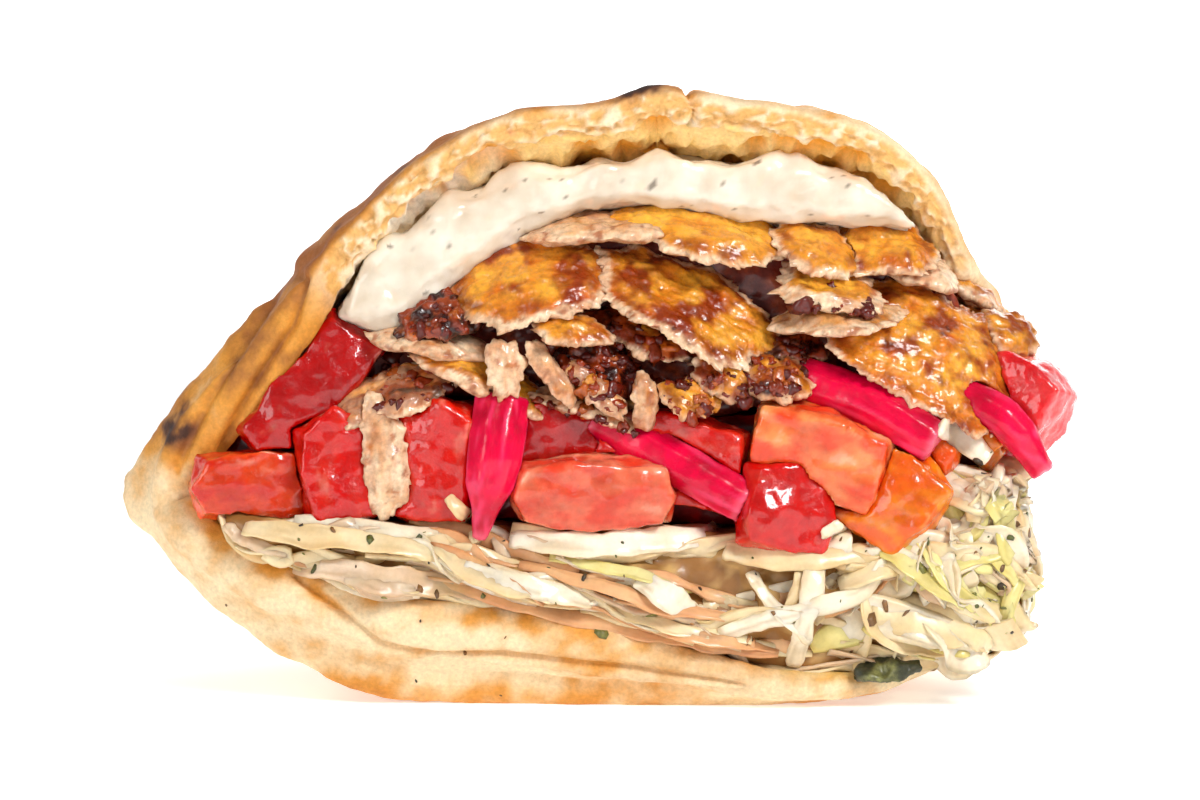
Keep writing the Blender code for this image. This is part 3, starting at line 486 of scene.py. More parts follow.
def bread_mesh():
    """The plain pocket's points, side faces, all its faces, and where on the bread each point lies."""
    stations, rings = bread_rings()
    points = np.concatenate([ring for ring, _, _ in rings])
    quads, ends = tube_faces(len(rings), BREAD_AROUND)
    quads = outer_faces(points - points.mean(axis=0), quads)

    x, y, z = points.T
    through = np.repeat([share for _, share, _ in rings], BREAD_AROUND)
    depth = np.repeat([deep for _, _, deep in rings], BREAD_AROUND)
    rim_z = np.tile(stations[:, 1], len(rings))
    torn = above(rim_z, 84, 12) * above(through, 0.12, 0.2)
    lining = above(through, 0.9, 0.1) * smooth_step(depth / 0.04)
    at = SimpleNamespace(
        x=x, y=y, z=z, through=through, depth=depth, rim_z=rim_z,
        outside=through < 0.02, inside=through > 0.98,
        upper=above(rim_z, 44, 14), left=smooth_step((-10 - x) / 60), right=smooth_step(x / 50),
        front=np.exp(-np.maximum(0, depth - 0.02) / 0.1), torn=torn, crumb=np.maximum(torn, lining),
    )
    return points, quads, quads.tolist() + list(ends), at


def bread_marks(points, at):
    """How much of each mark is where: holes, caves, blisters, drawn-out streaks and creases."""
    rng = np.random.default_rng(SEED)
    shown = np.flatnonzero((at.crumb > 0.5) & (at.depth < 0.3) & (at.rim_z > 60))
    small = rng.choice(shown, HOLES)
    roof = np.flatnonzero(at.inside & (at.depth > 0.004) & (at.depth < 0.16) & (at.rim_z > 98))
    large = rng.choice(roof, CAVES)
    holes = bowls(points, points[small], rng.uniform(*HOLE_RADII, HOLES))
    caves = bowls(points, points[large], rng.uniform(*CAVE_RADII, CAVES))
    crust = np.flatnonzero(at.outside & (at.depth > 0.02))
    blistered = rng.choice(crust, BLISTERS)
    blisters = bowls(points, points[blistered], rng.uniform(*BLISTER_RADII, BLISTERS))
    drawn = np.column_stack([at.x * 0.8 + at.z * 0.6, at.y * 0.4, (at.z * 0.8 - at.x * 0.6) * 2.4])
    streaks = layered(drawn, 9, 25, 3) * at.outside * at.upper * at.left
    creases = np.zeros(len(points))
    for line, width, deep in CREASES:
        close = near_line(at.x, at.z, line, width) * (at.y < -34) * ~at.inside
        creases = np.maximum(creases, close * deep)
    return SimpleNamespace(holes=holes, caves=caves, blisters=blisters, streaks=streaks, creases=creases)


def bread_relief(points, at, marks):
    """How far each point of the bread stands out."""
    rise = 0.32 * layered(points, 7, 3, 4) + 0.1 * layered(points, 2.2, 9, 3)
    rise += at.outside * marks.blisters**1.5 * 0.7
    rise -= 1.1 * marks.holes * at.torn + 0.6 * marks.holes * (at.crumb - at.torn).clip(0)
    rise -= 2.4 * marks.caves * at.crumb * at.upper
    rise += at.torn * (0.9 * layered(points, 4.0, 21, 4)) + 0.55 * marks.streaks
    rise += at.inside * at.upper * above(at.depth, 0.01, 0.03) * (1.1 + 1.2 * noise(points, 8, 5))
    return rise - marks.creases * CREASE_DEPTH


def bread_tones(points, at, marks):
    """The bread's colours, from pale to toasted and charred, with painted shade and painted light, and how
    wet it is.
    """
    toasted = 0.22 + 0.55 * layered(points, 15, 31, 3) + 0.4 * layered(points, 4.5, 35, 4)
    toasted += 0.35 * marks.blisters
    upper_tone = at.upper + (0.6 - at.upper) * above(at.depth, 0.05, 0.4)
    left_tone = at.left + (0.4 - at.left) * above(at.depth, 0.1, 0.5)
    # Paler towards the right front: partly a paler bake, partly painted light where the light falls
    # strongest.
    toasted += upper_tone * (0.72 * left_tone + 0.35) - 0.3 * at.right * at.front - 0.1 * (1 - upper_tone)
    toasted += 0.75 * smooth_step((9 - at.z) / 9) * at.outside
    inner_edge = above(at.through, 0.45, 0.4) * (1 - at.upper)
    toasted += inner_edge * (0.5 + 0.7 * noise(points, 6, 41))
    # The creases are toasted darker here: painted shade in the creases.
    toasted += 0.2 * smooth_step(at.depth / 0.2) + 0.45 * marks.creases - 0.5 * marks.streaks
    tones = painted(
        linear(*BAKED.pale),
        (BAKED.golden, toasted * 1.05),
        (BAKED.amber, (toasted - 0.62) * 1.5),
        (BAKED.brown, (toasted - 1.25) * 1.4),
    )
    smeared = at.inside * smooth_step((-12 - at.x) / 20) * smooth_step(0.6 + noise(points, 5, 57))
    airy = painted(
        linear(*BAKED.crumb),
        # The drier crumb tone also fills the holes as painted shade, and the pore spots are painted shade
        # of pores too fine for the mesh.
        (BAKED.dry_crumb, 0.3 + 0.45 * layered(points, 5, 51) + 1.1 * marks.holes),
        (BAKED.pore, above(noise(points, 1.7, 55), 0.2, 0.4) * 0.2),
        # The roof's and caves' amber is the crumb's own tone painted lighter to make up for the shade
        # under the top flap: painted light.
        (BAKED.roof, at.inside * at.upper * 0.7),
        (BAKED.cave, marks.caves * 1.2 * at.upper),
        (BAKED.smear, smeared * 0.85),
        (BAKED.pink, above(noise(points, 4, 61), 0.62, 0.3) * 0.35),
    )
    edge = np.exp(-((at.through / 0.13) ** 2)) * above(at.rim_z, 70, 20)
    # The brown rim fades towards the right: painted light where the light falls strongest.
    edge = edge * (0.6 + 0.4 * at.left + 0.6 * noise(points, 8, 71)) * (1 - 0.7 * at.right)
    stain = near_line(at.x, at.z, STAIN, 5.0) * (at.y < -40) * (1 - at.upper)
    oil = near_line(at.x, at.z, OIL, 3.0) * (at.y < -38) * (1 - at.upper)
    burnt = np.zeros(len(points))
    for place, radius, strength in CHAR:
        away = np.linalg.norm(points - place, axis=1) / radius + 0.45 * layered(points, 4, 81)
        burnt = np.maximum(burnt, strength * smooth_step((1.2 - away) / 0.85))
    burnt *= 1 - at.crumb
    tones = painted(
        mix(tones, airy, at.crumb),
        (BAKED.rim, edge),
        (BAKED.stain, stain * (0.45 + 0.4 * layered(points, 5, 77))),
        (BAKED.oil, oil * 0.7),
        (BAKED.scorched, burnt * 1.3),
        (BAKED.charred, (burnt - 0.5) * 1.7),
    )
    return tones, (0.3 * toasted + 0.5 * stain + 1.2 * oil) * (1 - burnt.clip(0, 1))


def dress_bread():
    """The pocket: crust outside, a torn airy lip, crumb under the top flap, char and creases."""
    points, quads, faces, at = bread_mesh()
    marks = bread_marks(points, at)
    points = points + normals_of(points, quads) * bread_relief(points, at, marks)[:, None]
    points[:, 2] = np.maximum(points[:, 2], 0.0)
    tones, wet = bread_tones(points, at, marks)
    return set_piece(new_piece("pita_bread", points, faces, tones, wet), "bread", BREAD, "bread")


# The fillings: each solid refined and given its own surface.


def refined(node, voxel, rounds, swell):
    """Points, faces and outward directions of a solid, evenly meshed, smoothed and swollen a little."""
    base = bpy.data.objects.new("scratch", frame["nodes"][node].data.copy())
    bpy.context.scene.collection.objects.link(base)
    weld = base.modifiers.new("weld", "WELD")
    weld.merge_threshold = 0.002 * MM
    remesh = base.modifiers.new("remesh", "REMESH")
    remesh.mode = "VOXEL"
    remesh.voxel_size = voxel * MM
    ease = base.modifiers.new("smooth", "SMOOTH")
    ease.factor = 0.5
    ease.iterations = rounds
    mesh = bpy.data.meshes.new_from_object(base.evaluated_get(bpy.context.evaluated_depsgraph_get()))
    points, normals = vectors_of(mesh.vertices, "co") / MM, vectors_of(mesh.vertex_normals, "vector")
    corners = np.empty(len(mesh.loops), np.int32)
    mesh.loops.foreach_get("vertex_index", corners)
    bpy.data.objects.remove(base)
    return points + normals * swell, corners.reshape(-1, 4), normals


def own_axes(points):
    """The centre of a piece and its long, wide and flat directions; the flat one faces up and forward."""
    centre = (points.min(axis=0) + points.max(axis=0)) / 2
    _, directions = np.linalg.eigh(np.cov((points - centre).T))
    long, wide, flat = directions[:, 2], directions[:, 1], directions[:, 0]
    if flat @ (0, -0.6, 1) < 0:
        flat = -flat
    if long[0] < 0:
        long = -long
    return centre, long, wide, flat


EDGE_SLOTS = 72


def from_edge(u, v):
    """Each point's distance in from the outline of a flat piece, and the outline point it looks at."""
    angle, reach = np.arctan2(v, u), np.hypot(u, v)
    slots = ((angle + np.pi) / (2 * np.pi) * EDGE_SLOTS).astype(int) % EDGE_SLOTS
    edge = np.zeros(EDGE_SLOTS)
    np.maximum.at(edge, slots, reach)
    edge = (np.roll(edge, 1) + 2 * edge + np.roll(edge, -1)) / 4
    out = edge[slots]
    return np.maximum(0, out - reach), np.column_stack([np.cos(angle) * out, np.sin(angle) * out])


# How each cut of chicken looks: yellow from orange, how much of it is dark crust, how wide its pale torn
# edge is, how pale it is all over, and how ragged its edge is.
Cut = namedtuple("Cut", "yellow crust edge pale torn")
CUTS = {
    "strip_hanging": Cut(0.5, 0.3, 2.0, 0.85, 0.7),
    "flake_front": Cut(0.6, 0.35, 1.6, 0.15, 1.0),
    "shred_pale": Cut(0.5, 0.1, 2.0, 0.95, 0.9),
    "shred_left": Cut(0.4, 0.35, 1.6, 0.6, 0.9),
    "shred_middle": Cut(0.4, 0.5, 1.4, 0.5, 0.9),
    "shred_upright": Cut(0.4, 0.35, 1.2, 0.65, 0.8),
    "flake_yellow": Cut(1.0, 0.15, 1.0, 0.2, 1.0),
    "crust_bit": Cut(0.7, 0.7, 1.0, 0.1, 1.0),
    "crust_chunk": Cut(0.8, 0.6, 1.2, 0.1, 1.0),
    "left": Cut(0.45, 0.42, 2.6, 0.0, 1.1),
    "middle": Cut(0.45, 0.5, 2.8, 0.0, 1.1),
    "middle_low": Cut(0.25, 0.7, 1.6, 0.05, 0.9),
    "fringe": Cut(0.95, 0.12, 4.0, 0.1, 1.4),
    "pale_right": Cut(0.8, 0.2, 2.6, 0.45, 1.1),
    "big_right": Cut(0.4, 0.45, 1.4, 0.0, 1.0),
    "flake_right": Cut(0.7, 0.4, 1.2, 0.1, 0.9),
    "top": Cut(0.95, 0.22, 1.8, 0.0, 1.1),
    "top_right": Cut(0.85, 0.25, 1.8, 0.1, 1.1),
    "curled_right": Cut(0.55, 0.42, 1.6, 0.05, 1.0),
    "wedge_right": Cut(0.8, 0.0, 3.0, 1.0, 0.5),
    "top_pale": Cut(0.5, 0.3, 2.6, 0.6, 0.6),
    "dark_left": Cut(0.2, 1.0, 0.2, 0.0, 0.9),
    "pale_left": Cut(0.5, 0.1, 2.4, 0.85, 0.8),
    "long_left": Cut(0.55, 0.3, 2.6, 0.1, 0.8),
    "brown_left": Cut(0.4, 0.6, 1.6, 0.35, 1.0),
    "long_middle": Cut(0.4, 0.5, 2.0, 0.45, 0.9),
    "dark_middle": Cut(0.1, 1.0, 0.3, 0.0, 0.9),
    "dark_right": Cut(0.3, 0.9, 0.8, 0.0, 1.0),
    "side_high": Cut(0.6, 0.4, 1.8, 0.1, 1.0),
    "side_middle": Cut(0.5, 0.4, 2.2, 0.1, 1.0),
    "side_low": Cut(0.5, 0.5, 1.8, 0.2, 1.0),
}


def dress_chicken(name, cut, seed):
    """One cut of chicken: an oily roasted face, patches of dark crust, pale, fibrous torn edges, and
    painted shade and highlight.
    """
    node = "chicken_" + name
    points, quads, normals = refined(node, 0.5, 4, 0.25)
    centre, long, wide, flat = own_axes(points)
    local = points - centre
    u, v, w = local @ long, local @ wide, local @ flat
    inside, outline = from_edge(u, v)
    own = np.column_stack([u, v, w])
    outline = np.column_stack([outline, w * 0.5])
    rim = np.exp(-inside / 1.5)
    teeth = noise(outline, 3.0, seed) + 0.9 * noise(outline, 1.3, seed + 1)
    away = local - np.outer(w, flat)
    away /= np.maximum(np.linalg.norm(away, axis=1), 0.1)[:, None]
    fibres = noise(own * (0.16, 1, 1), 0.9, seed + 2)
    crusty = layered(points, 7, seed + 3, 3)
    crags = layered(points, 2.6, seed + 5, 3)
    rise = 0.6 * layered(points, 6, seed + 4, 2) + 0.2 * fibres + (0.1 + 0.9 * cut.crust**1.5) * crags
    points = points + normals * rise[:, None] + away * (cut.torn * 1.2 * rim * teeth)[:, None]

    face = normals @ flat
    burnt = smooth_step((crusty * 0.8 + cut.crust * 1.5 - 0.6) / 0.5)
    # Sides turned away from the top and front are darkened along with the crust: painted shade.
    burnt = np.maximum(burnt, smooth_step((0.25 - face) / 0.6) * 0.55 * (1 - cut.pale))
    deep = smooth_step((layered(points, 3.5, seed + 6, 3) + cut.crust * 1.1 - 0.85) / 0.5)
    warm = 0.5 - cut.yellow + 0.6 * layered(points, 8, seed + 7, 2)
    # A painted yellow highlight in the middle of the cut, and a band of painted shade just inside its pale
    # edge.
    heart = above(inside, 3, 3) * smooth_step(0.6 + layered(points, 6, seed + 12, 2))
    band = np.exp(-(((inside - cut.edge - 0.8) / 1.3) ** 2))
    band = band * smooth_step(0.55 + noise(outline, 5, seed + 13))
    tones = painted(
        linear(228, 150, 40),
        ((196, 88, 18), warm + 0.42 - 0.35 * fibres),
        ((244, 184, 66), heart * (0.25 + 0.5 * cut.yellow) * (1 - burnt)),
        # Painted shade: the band inside the edge and the dips between the crags.
        ((120, 36, 10), np.maximum(band * 0.75, smooth_step(-0.3 - crags) * 0.7)),
        ((132, 40, 12), burnt * 0.9),
        ((46, 10, 6), burnt * deep),
    )
    edge = smooth_step((cut.edge - inside) / 1.4 + 0.5 * noise(outline, 3.5, seed + 8))
    edge = np.maximum(edge, smooth_step((0.55 - np.abs(face)) / 0.35) * (inside < 5))
    edge *= 1 - 0.85 * burnt * deep
    flesh = painted(
        linear(238, 208, 172),
        ((208, 150, 106), 0.4 + 0.7 * fibres + 0.5 * crusty),
        ((160, 82, 40), above(layered(points, 2.5, seed + 9, 3), 0.2, 0.4) * 0.8),
    )
    pale = np.clip(cut.pale + 0.35 * layered(points, 6, seed + 10, 2), 0, 1) * (cut.pale > 0.3)
    tones = mix(tones, flesh, np.maximum(edge * min(1.0, cut.edge), pale))
    wet = 0.75 - 0.45 * edge + 0.3 * layered(points, 5, seed + 11, 2)
    return dress(node + "_cut", points, quads, tones, wet, "chicken", MEAT, node)


# How each piece of tomato looks: its flesh, its paler streaks, and how much the streaks show.
DICE = {
    "front": ((226, 66, 36), (246, 146, 106), 0.8),
    "shiny": ((206, 10, 8), (236, 48, 30), 0.35),
    "gel": ((236, 70, 22), (252, 160, 92), 0.85),
    "orange": ((230, 92, 4), (248, 156, 30), 0.8),
    "seeded": ((208, 8, 3), (236, 60, 28), 0.4),
    "corner": ((210, 32, 3), (236, 90, 24), 0.7),
    "behind_strip": ((212, 5, 1), (236, 50, 20), 0.45),
    "slope": ((180, 3, 3), (214, 14, 6), 0.35),
    "dark": ((176, 4, 8), (212, 22, 18), 0.35),
    "middle": ((208, 14, 8), (236, 62, 36), 0.5),
    "far_right": ((224, 26, 34), (240, 86, 80), 0.5),
    "under_crust": ((238, 124, 34), (250, 170, 80), 0.6),
    "skin": ((228, 84, 16), (240, 130, 50), 0.5),
    "side_front": ((214, 26, 18), (240, 84, 56), 0.5),
    "side_back": ((198, 16, 14), (232, 60, 40), 0.4),
}


def dress_tomato(name, look, seed):
    """One dice of tomato: wet translucent flesh with paler streaks, the palest partly painted sheen, and
    darker skin on one side.
    """
    node = "tomato_" + name
    points, quads, normals = refined(node, 0.58, 3, 0.25)
    centre, long, wide, flat = own_axes(points)
    own = (points - centre) @ np.column_stack([long, wide, flat])
    rise = 0.9 * layered(points, 10, seed, 2) + 0.28 * layered(points, 3.0, seed + 1, 3)
    points = points + normals * rise[:, None]
    flesh, streak, amount = look
    veins = layered(own * (0.5, 1, 1), 4, seed + 2, 4)
    tones = painted(
        linear(*flesh),
        (streak, amount * smooth_step(0.5 + veins)),
        # The palest streaks are partly pale pulp and partly a painted sheen.
        ((252, 206, 170), amount * above(veins, 0.5, 0.3) * 0.6),
    )
    shaded = above(layered(points, 9, seed + 3, 2), 0.1, 0.5)
    tones = mix(tones, linear(*flesh) * 0.6, shaded * 0.35)
    skin = above(normals @ flat, 0.8, 0.15) * 0.5
    tones = mix(tones, linear(*flesh) * 0.7, skin)
    wet = 0.8 + 0.4 * layered(points, 3, seed + 4, 2)
    return dress(node + "_dice", points, quads, tones, wet, "tomato", FRUIT, node)


def dress_pickle(name, seed):
    """A stick of pickled turnip: bright pink, ridged along its length with painted highlights on the
    ridges, paler at the cut end.
    """
    node = "pickle_" + name
    points, quads, normals = refined(node, 0.5, 4, 0.25)
    centre, long, wide, flat = own_axes(points)
    own = (points - centre) @ np.column_stack([long, wide, flat])
    ridges = noise(own * (0.12, 1, 1), 1.8, seed)
    end = smooth_step((np.abs(own[:, 0]) - np.abs(own[:, 0]).max() + 2.2) / 2.2)
    rise = 0.2 * layered(points, 5, seed + 1, 2) + 0.12 * ridges
    rise += 0.5 * end * layered(points, 2, seed + 2, 2)
    points = points + normals * rise[:, None]
    tones = painted(
        linear(232, 6, 64),
        ((178, 0, 40), 0.4 + 0.8 * layered(points, 8, seed + 3, 3)),
        # The lighter pink on the ridges is a painted highlight.
        ((248, 74, 122), above(ridges, 0.1, 0.5) * 0.5),
        ((250, 130, 156), end * 0.5),
    )
    return dress(node + "_stick", points, quads, tones, 0.7 + 0.3 * ridges, "pickle", ROOT, node)


SAUCE_STEP = 4.0
SAUCE_FALL = 3.0


def dress_sauce():
    """The thick sauce under the top flap: rounded lumps and runs, with specks of pepper and herb."""
    points, quads, normals = refined("sauce", 0.8, 8, 0.3)
    x, y, z = points.T
    steps = np.arange(x.min(), x.max() + SAUCE_STEP, SAUCE_STEP)
    close = [(np.abs(x - step) < SAUCE_STEP) & (y < -30) for step in steps]
    floor = np.interp(x, steps, [z[c].min(initial=200) for c in close])
    roof = np.interp(x, steps, [z[c].max(initial=0) for c in close])
    height = np.clip((z - floor) / np.maximum(roof - floor, 1), 0, 1.2)
    fallen = smooth_step((-26 - y) / 16) * smooth_step((x + 48) / 30) * (1 + 0.4 * noise(points, 14, 3))
    points[:, 2] -= SAUCE_FALL * fallen * height**1.4
    spread_up = above(height, 0.5, 0.4) * smooth_step((-20 - y) / 20)
    points[:, 2] += spread_up * (1.2 + 2.6 * noise(points, 9, 19))
    rise = 1.0 * layered(points, 10, 5, 2) + 0.4 * layered(points, 3.2, 8, 3)
    points = points + normals * rise[:, None]
    tones = painted(
        linear(232, 222, 204),
        ((206, 188, 164), 0.4 + 0.7 * layered(points, 9, 11, 3)),
        ((240, 206, 176), above(layered(points, 5, 15, 2), 0.35, 0.4) * 0.5),
        ((96, 84, 70), above(noise(points, 1.7, 17), 0.62, 0.06) * 0.75),
    )
    return dress("garlic_sauce", points, quads, tones, 0.7, "sauce", SAUCE, "sauce")


def dress_bed(node, name, voxel, dark, bright, slot, look, seed):
    """Filling that only shows in the gaps between the pieces in front of it."""
    points, quads, normals = refined(node, voxel, 2, 0.2)
    rise = 0.8 * layered(points, 5, seed, 3)
    points = points + normals * rise[:, None]
    tones = mix(linear(*dark), linear(*bright), smooth_step(0.1 + layered(points, 5, seed + 3, 3)))
    return dress(name, points, quads, tones, 0.15, slot, look, node)


# Small things that lie on what shows: shreds of cabbage, crusty bits of chicken and flecks of herb.


class Heap:
    """Many small shapes gathered into one mesh."""

    def __init__(self):
        self.points, self.faces, self.tones, self.wet, self.count = [], [], [], [], 0

    def add(self, points, faces, tones, wet):
        self.points.append(points)
        self.faces += [[self.count + i for i in face] for face in faces]
        self.tones.append(np.broadcast_to(tones, (len(points), 3)))
        self.wet.append(np.broadcast_to(wet, len(points)))
        self.count += len(points)

    def piece(self, name, slot, look, *nodes):
        points, tones, wet = (np.concatenate(part) for part in (self.points, self.tones, self.wet))
        return set_piece(new_piece(name, points, self.faces, tones, wet), slot, look, *nodes)


def unit(vectors):
    return vectors / np.maximum(np.linalg.norm(vectors, axis=-1, keepdims=True), 1e-9)


def smooth_path(points, count):
    """Evenly numbered places on the smooth curve through a few points."""
    points = np.asarray(points, float)
    chain = np.vstack([2 * points[0] - points[1], points, 2 * points[-1] - points[-2]])
    places = []
    for step in np.linspace(0, len(points) - 1 - 1e-6, count):
        i = int(step)
        places.append(curve_point(*chain[i : i + 4], step - i))
    return np.array(places)


def ribbon(path, sides, widths, thick, cup, around):
    """Points and faces of a closed strip along a path, its section a flat oval bent up at both edges."""
    along = unit(np.gradient(path, axis=0))
    sides = unit(sides - along * (sides * along).sum(axis=1)[:, None])
    up = np.cross(along, sides)
    turns = 2 * np.pi * np.arange(around) / around
    a, b = np.sign(np.cos(turns)) * np.abs(np.cos(turns)) ** 0.8, np.sin(turns)
    across = a * widths[:, None] / 2
    raised = b * thick / 2 + cup * widths[:, None] * (a**2 - 0.4)
    points = path[:, None] + sides[:, None] * across[..., None] + up[:, None] * raised[..., None]
    walls, (first, last) = tube_faces(len(path), around)
    return points.reshape(-1, 3), walls.tolist() + [first[::-1], last]


def tree_of(*meshes):
    """A tree for finding places on meshes, in millimetres."""
    points, faces = [], []
    for mesh in meshes:
        first = len(points)
        points += [v.co / MM for v in mesh.vertices]
        faces += [[first + i for i in polygon.vertices] for polygon in mesh.polygons]
    return BVHTree.FromPolygons(points, faces)


def solid_tree(*nodes):
    """A tree of the named solids, and which solid each of its faces is from."""
    meshes = [frame["nodes"][node].data for node in nodes]
    owners = [node for node, mesh in zip(nodes, meshes) for _ in mesh.polygons]
    return tree_of(*meshes), owners


def looked_at(tree, rng, azimuths, elevations, spot, spread):
    """A place on a tree that shows from a random direction, near a spot; its normal and face too."""
    azimuth, elevation = (math.radians(rng.uniform(*limits)) for limits in (azimuths, elevations))
    level = math.cos(elevation)
    back = Vector((math.sin(azimuth) * level, -math.cos(azimuth) * level, math.sin(elevation)))
    target = Vector([rng.uniform(c - s, c + s) for c, s in zip(spot, spread)])
    return tree.ray_cast(target + back * 250, -back)[:3]


# The shreds of cabbage that show: x and z along the centre line, width, thickness, how upright the strip
# stands in the view, and its place in CABBAGE.
Shred = namedtuple("Shred", "points width thick upright tint")
SHRED_STEPS = 30
SHREDS = [Shred(*row) for row in (
    (((-18, 34), (-6, 33.5), (10, 34), (29, 35)), 5.8, 1.8, 62, 1),
    (((-71, 36.5), (-60, 35.5), (-46, 34), (-32, 31.5)), 5.0, 1.6, 60, 0),
    (((-62, 28.5), (-52, 28), (-38, 26), (-24, 23)), 5.2, 2.6, 70, 4),
    (((-50, 27), (-44, 25.5), (-37, 24.5)), 3.6, 2.2, 60, 4),
    (((-34, 35), (-28, 30), (-20, 26.5), (-9, 23.5)), 5.4, 1.8, 58, 0),
    (((-27, 29), (-14, 25.5), (-2, 22.5)), 5.2, 2.4, 62, 1),
    (((-34, 27), (-16, 21), (6, 16.5), (22, 13), (36, 11.5)), 4.4, 1.6, 55, 2),
    (((-16, 29.5), (0, 25.5), (12, 21.5), (26, 19)), 3.6, 1.6, 50, 2),
    (((-10, 31), (4, 28.5), (18, 24.5)), 2.8, 1.4, 50, 3),
    (((8, 27), (13, 23.5), (18, 20.5)), 6.0, 2.2, 70, 1),
    (((25, 32), (38, 31), (54, 31.5)), 6.0, 1.8, 60, 0),
    (((43, 33), (41, 20), (39, 8.5)), 5.0, 1.8, 80, 1),
    (((57, 30), (51, 23.5), (38, 20), (24, 15.5)), 4.6, 1.8, 56, 1),
    (((52, 24), (55, 16), (64, 12), (74, 11)), 3.8, 1.8, 60, 0),
    (((8, 17), (22, 14.5), (36, 12)), 3.2, 1.6, 50, 2),
    (((54, 20), (66, 19), (78, 16), (83, 11)), 11.0, 1.8, 62, 0),
    (((57, 33), (66, 28), (76, 21)), 9.0, 1.8, 64, 3),
    (((60, 42), (68, 27), (79, 17)), 3.4, 1.6, 60, 3),
    (((66, 44.5), (76, 43.5), (87, 42)), 5.6, 2.8, 70, 1),
    (((80, 45), (80.5, 38), (80, 31)), 6.2, 2.0, 78, 1),
    (((87, 49), (92, 43), (92, 33)), 5.4, 1.8, 70, 3),
    (((72, 36), (80, 28), (88, 24)), 6.0, 1.8, 60, 0),
    (((78, 32), (85, 26), (90, 19)), 6.0, 1.8, 64, 3),
    (((69, 23), (77, 20), (85, 17)), 5.5, 2.0, 58, 0),
    (((64, 47), (70, 45), (76, 42)), 5.0, 2.0, 66, 1),
    (((60, 15), (68, 13), (76, 11.5)), 4.0, 1.6, 40, 3),
    (((-74, 37), (-70, 34), (-62, 31.5)), 3.4, 1.6, 58, 4),
    (((-55, 27), (-44, 23), (-28, 20)), 3.6, 1.6, 54, 1),
    (((-32, 21), (-14, 18.5), (2, 16)), 3.4, 1.5, 56, 0),
    (((0, 22), (14, 17), (30, 14)), 3.2, 1.5, 58, 0),
    (((30, 28), (34, 21), (42, 14)), 3.2, 1.5, 64, 1),
    (((62, 25), (72, 30), (84, 33)), 3.6, 1.5, 60, 3),
)]
LOOSE_SHREDS = [Shred(*row) for row in (
    (((67, 57), (72, 54.5), (78, 50)), 5.4, 2.2, 76, 1),
    (((45, 37.5), (46.5, 34.5), (48.5, 31)), 5.8, 2.6, 76, 1),
    (((-30, 43), (-27, 39), (-24, 34)), 3.4, 1.8, 70, 0),
)]
# A light and a deep tone for each kind of leaf.
CABBAGE = (
    ((240, 220, 178), (222, 188, 134)),
    ((246, 236, 214), (228, 204, 164)),
    ((234, 184, 134), (212, 148, 98)),
    ((232, 220, 154), (210, 190, 104)),
    ((228, 202, 170), (204, 168, 130)),
)
# The shreds that fill up the heap: how many are tried, and the two views that they are looked for in.
FILL_SHREDS = 420
FILL_VIEWS = (
    ((-25, 40), (-8, 50), (10, -45, 22), (78, 4, 14)),
    ((0, 125), (-8, 50), (70, -28, 28), (22, 22, 20)),
)
FILL_STEPS = 16
OPEN_SIDE = 52
OPEN_TINTS = (3, 0, 1, 1, 0, 4)
FRONT_TINTS = (0, 0, 1, 2, 4, 0)
SHRED_CUP = (-0.1, 0.16)
CLEAR_OF_TABLE = 0.3


def shred_tones(points, rows, tint, seed):
    """Cream, white, peach or yellow-green leaf, with veins along it and clearer edges."""
    light, deep = (linear(*colour) for colour in CABBAGE[tint])
    around = len(points) // rows
    across = np.tile(np.cos(2 * np.pi * np.arange(around) / around), rows)
    along = np.repeat(np.linspace(0, 3, rows), around)
    own = np.column_stack([along, across * 2.2, np.full(len(points), seed * 0.37)])
    tones = mix(light, deep, 0.3 + 0.6 * layered(points, 9, seed, 2) + 0.35 * across**2)
    veins = above(noise(own, 0.9, seed + 3), 0.1, 0.4)
    tones = mix(tones, deep * 0.8, veins * 0.65)
    return mix(tones, linear(224, 206, 120), above(noise(points, 16, seed + 5), 0.3, 0.5) * 0.2)


def placed_shred(shred, tree, index, rng):
    """A shred that shows, laid along its own line on a tree: its points and faces."""
    places = []
    for x, _, z in smooth_path([(x, 0, z) for x, z in shred.points], SHRED_STEPS):
        hit = tree.ray_cast(Vector((x, -90, z)), Vector((0, 1, 0)))[0]
        places.append(hit or tree.find_nearest(Vector((x, -60, z)))[0])
    places = np.array(places, float)
    eased(places[:, 1], 6)
    share = np.linspace(0, 1, SHRED_STEPS)
    places[:, 1] -= 1.1 + 1.0 * np.sin(np.pi * share)
    places += 0.5 * wobble(places, 7, 200 + index)
    along = unit(np.gradient(places, axis=0))
    across = unit(np.cross(along, (0, 1, 0)))
    turn = math.radians(90 - shred.upright) + 0.35 * noise(places, 12, 230 + index)
    sides = across * np.cos(turn)[:, None] + np.cross(across, along) * np.sin(turn)[:, None]
    widths = shred.width * (0.62 + 0.38 * np.sin(np.pi * np.clip(share, 0.12, 0.88)))
    widths = widths * (1 + 0.3 * noise(places, 4, 260 + index))
    widths = widths * smooth_step(0.7 + share * 12) * smooth_step(0.7 + (1 - share) * 12)
    points, faces = ribbon(places, sides, widths, shred.thick * 0.6, rng.uniform(*SHRED_CUP), 20)
    return points + 0.24 * wobble(points, 1.8, 300 + index), faces


def crawled_path(tree, start, heading, bend, length, seed):
    """Places along a line that crawls over a heap, and the outward direction at each."""
    path, directions = [], []
    for step in range(FILL_STEPS):
        near, out = (np.array(v) for v in tree.find_nearest(Vector(start))[:2])
        path.append(near + out * (0.2 + 0.7 * abs(math.sin(0.3 * step + seed))))
        directions.append(out)
        heading = unit(heading - out * (heading @ out))
        heading = unit(heading + bend * np.cross(out, heading))
        start = path[-1] + heading * length / (FILL_STEPS - 1)
    path, directions = np.array(path), np.array(directions)
    eased(path, 4)
    for _ in range(4):
        directions[1:-1] = unit(directions[:-2] + 2 * directions[1:-1] + directions[2:])
    return path, directions


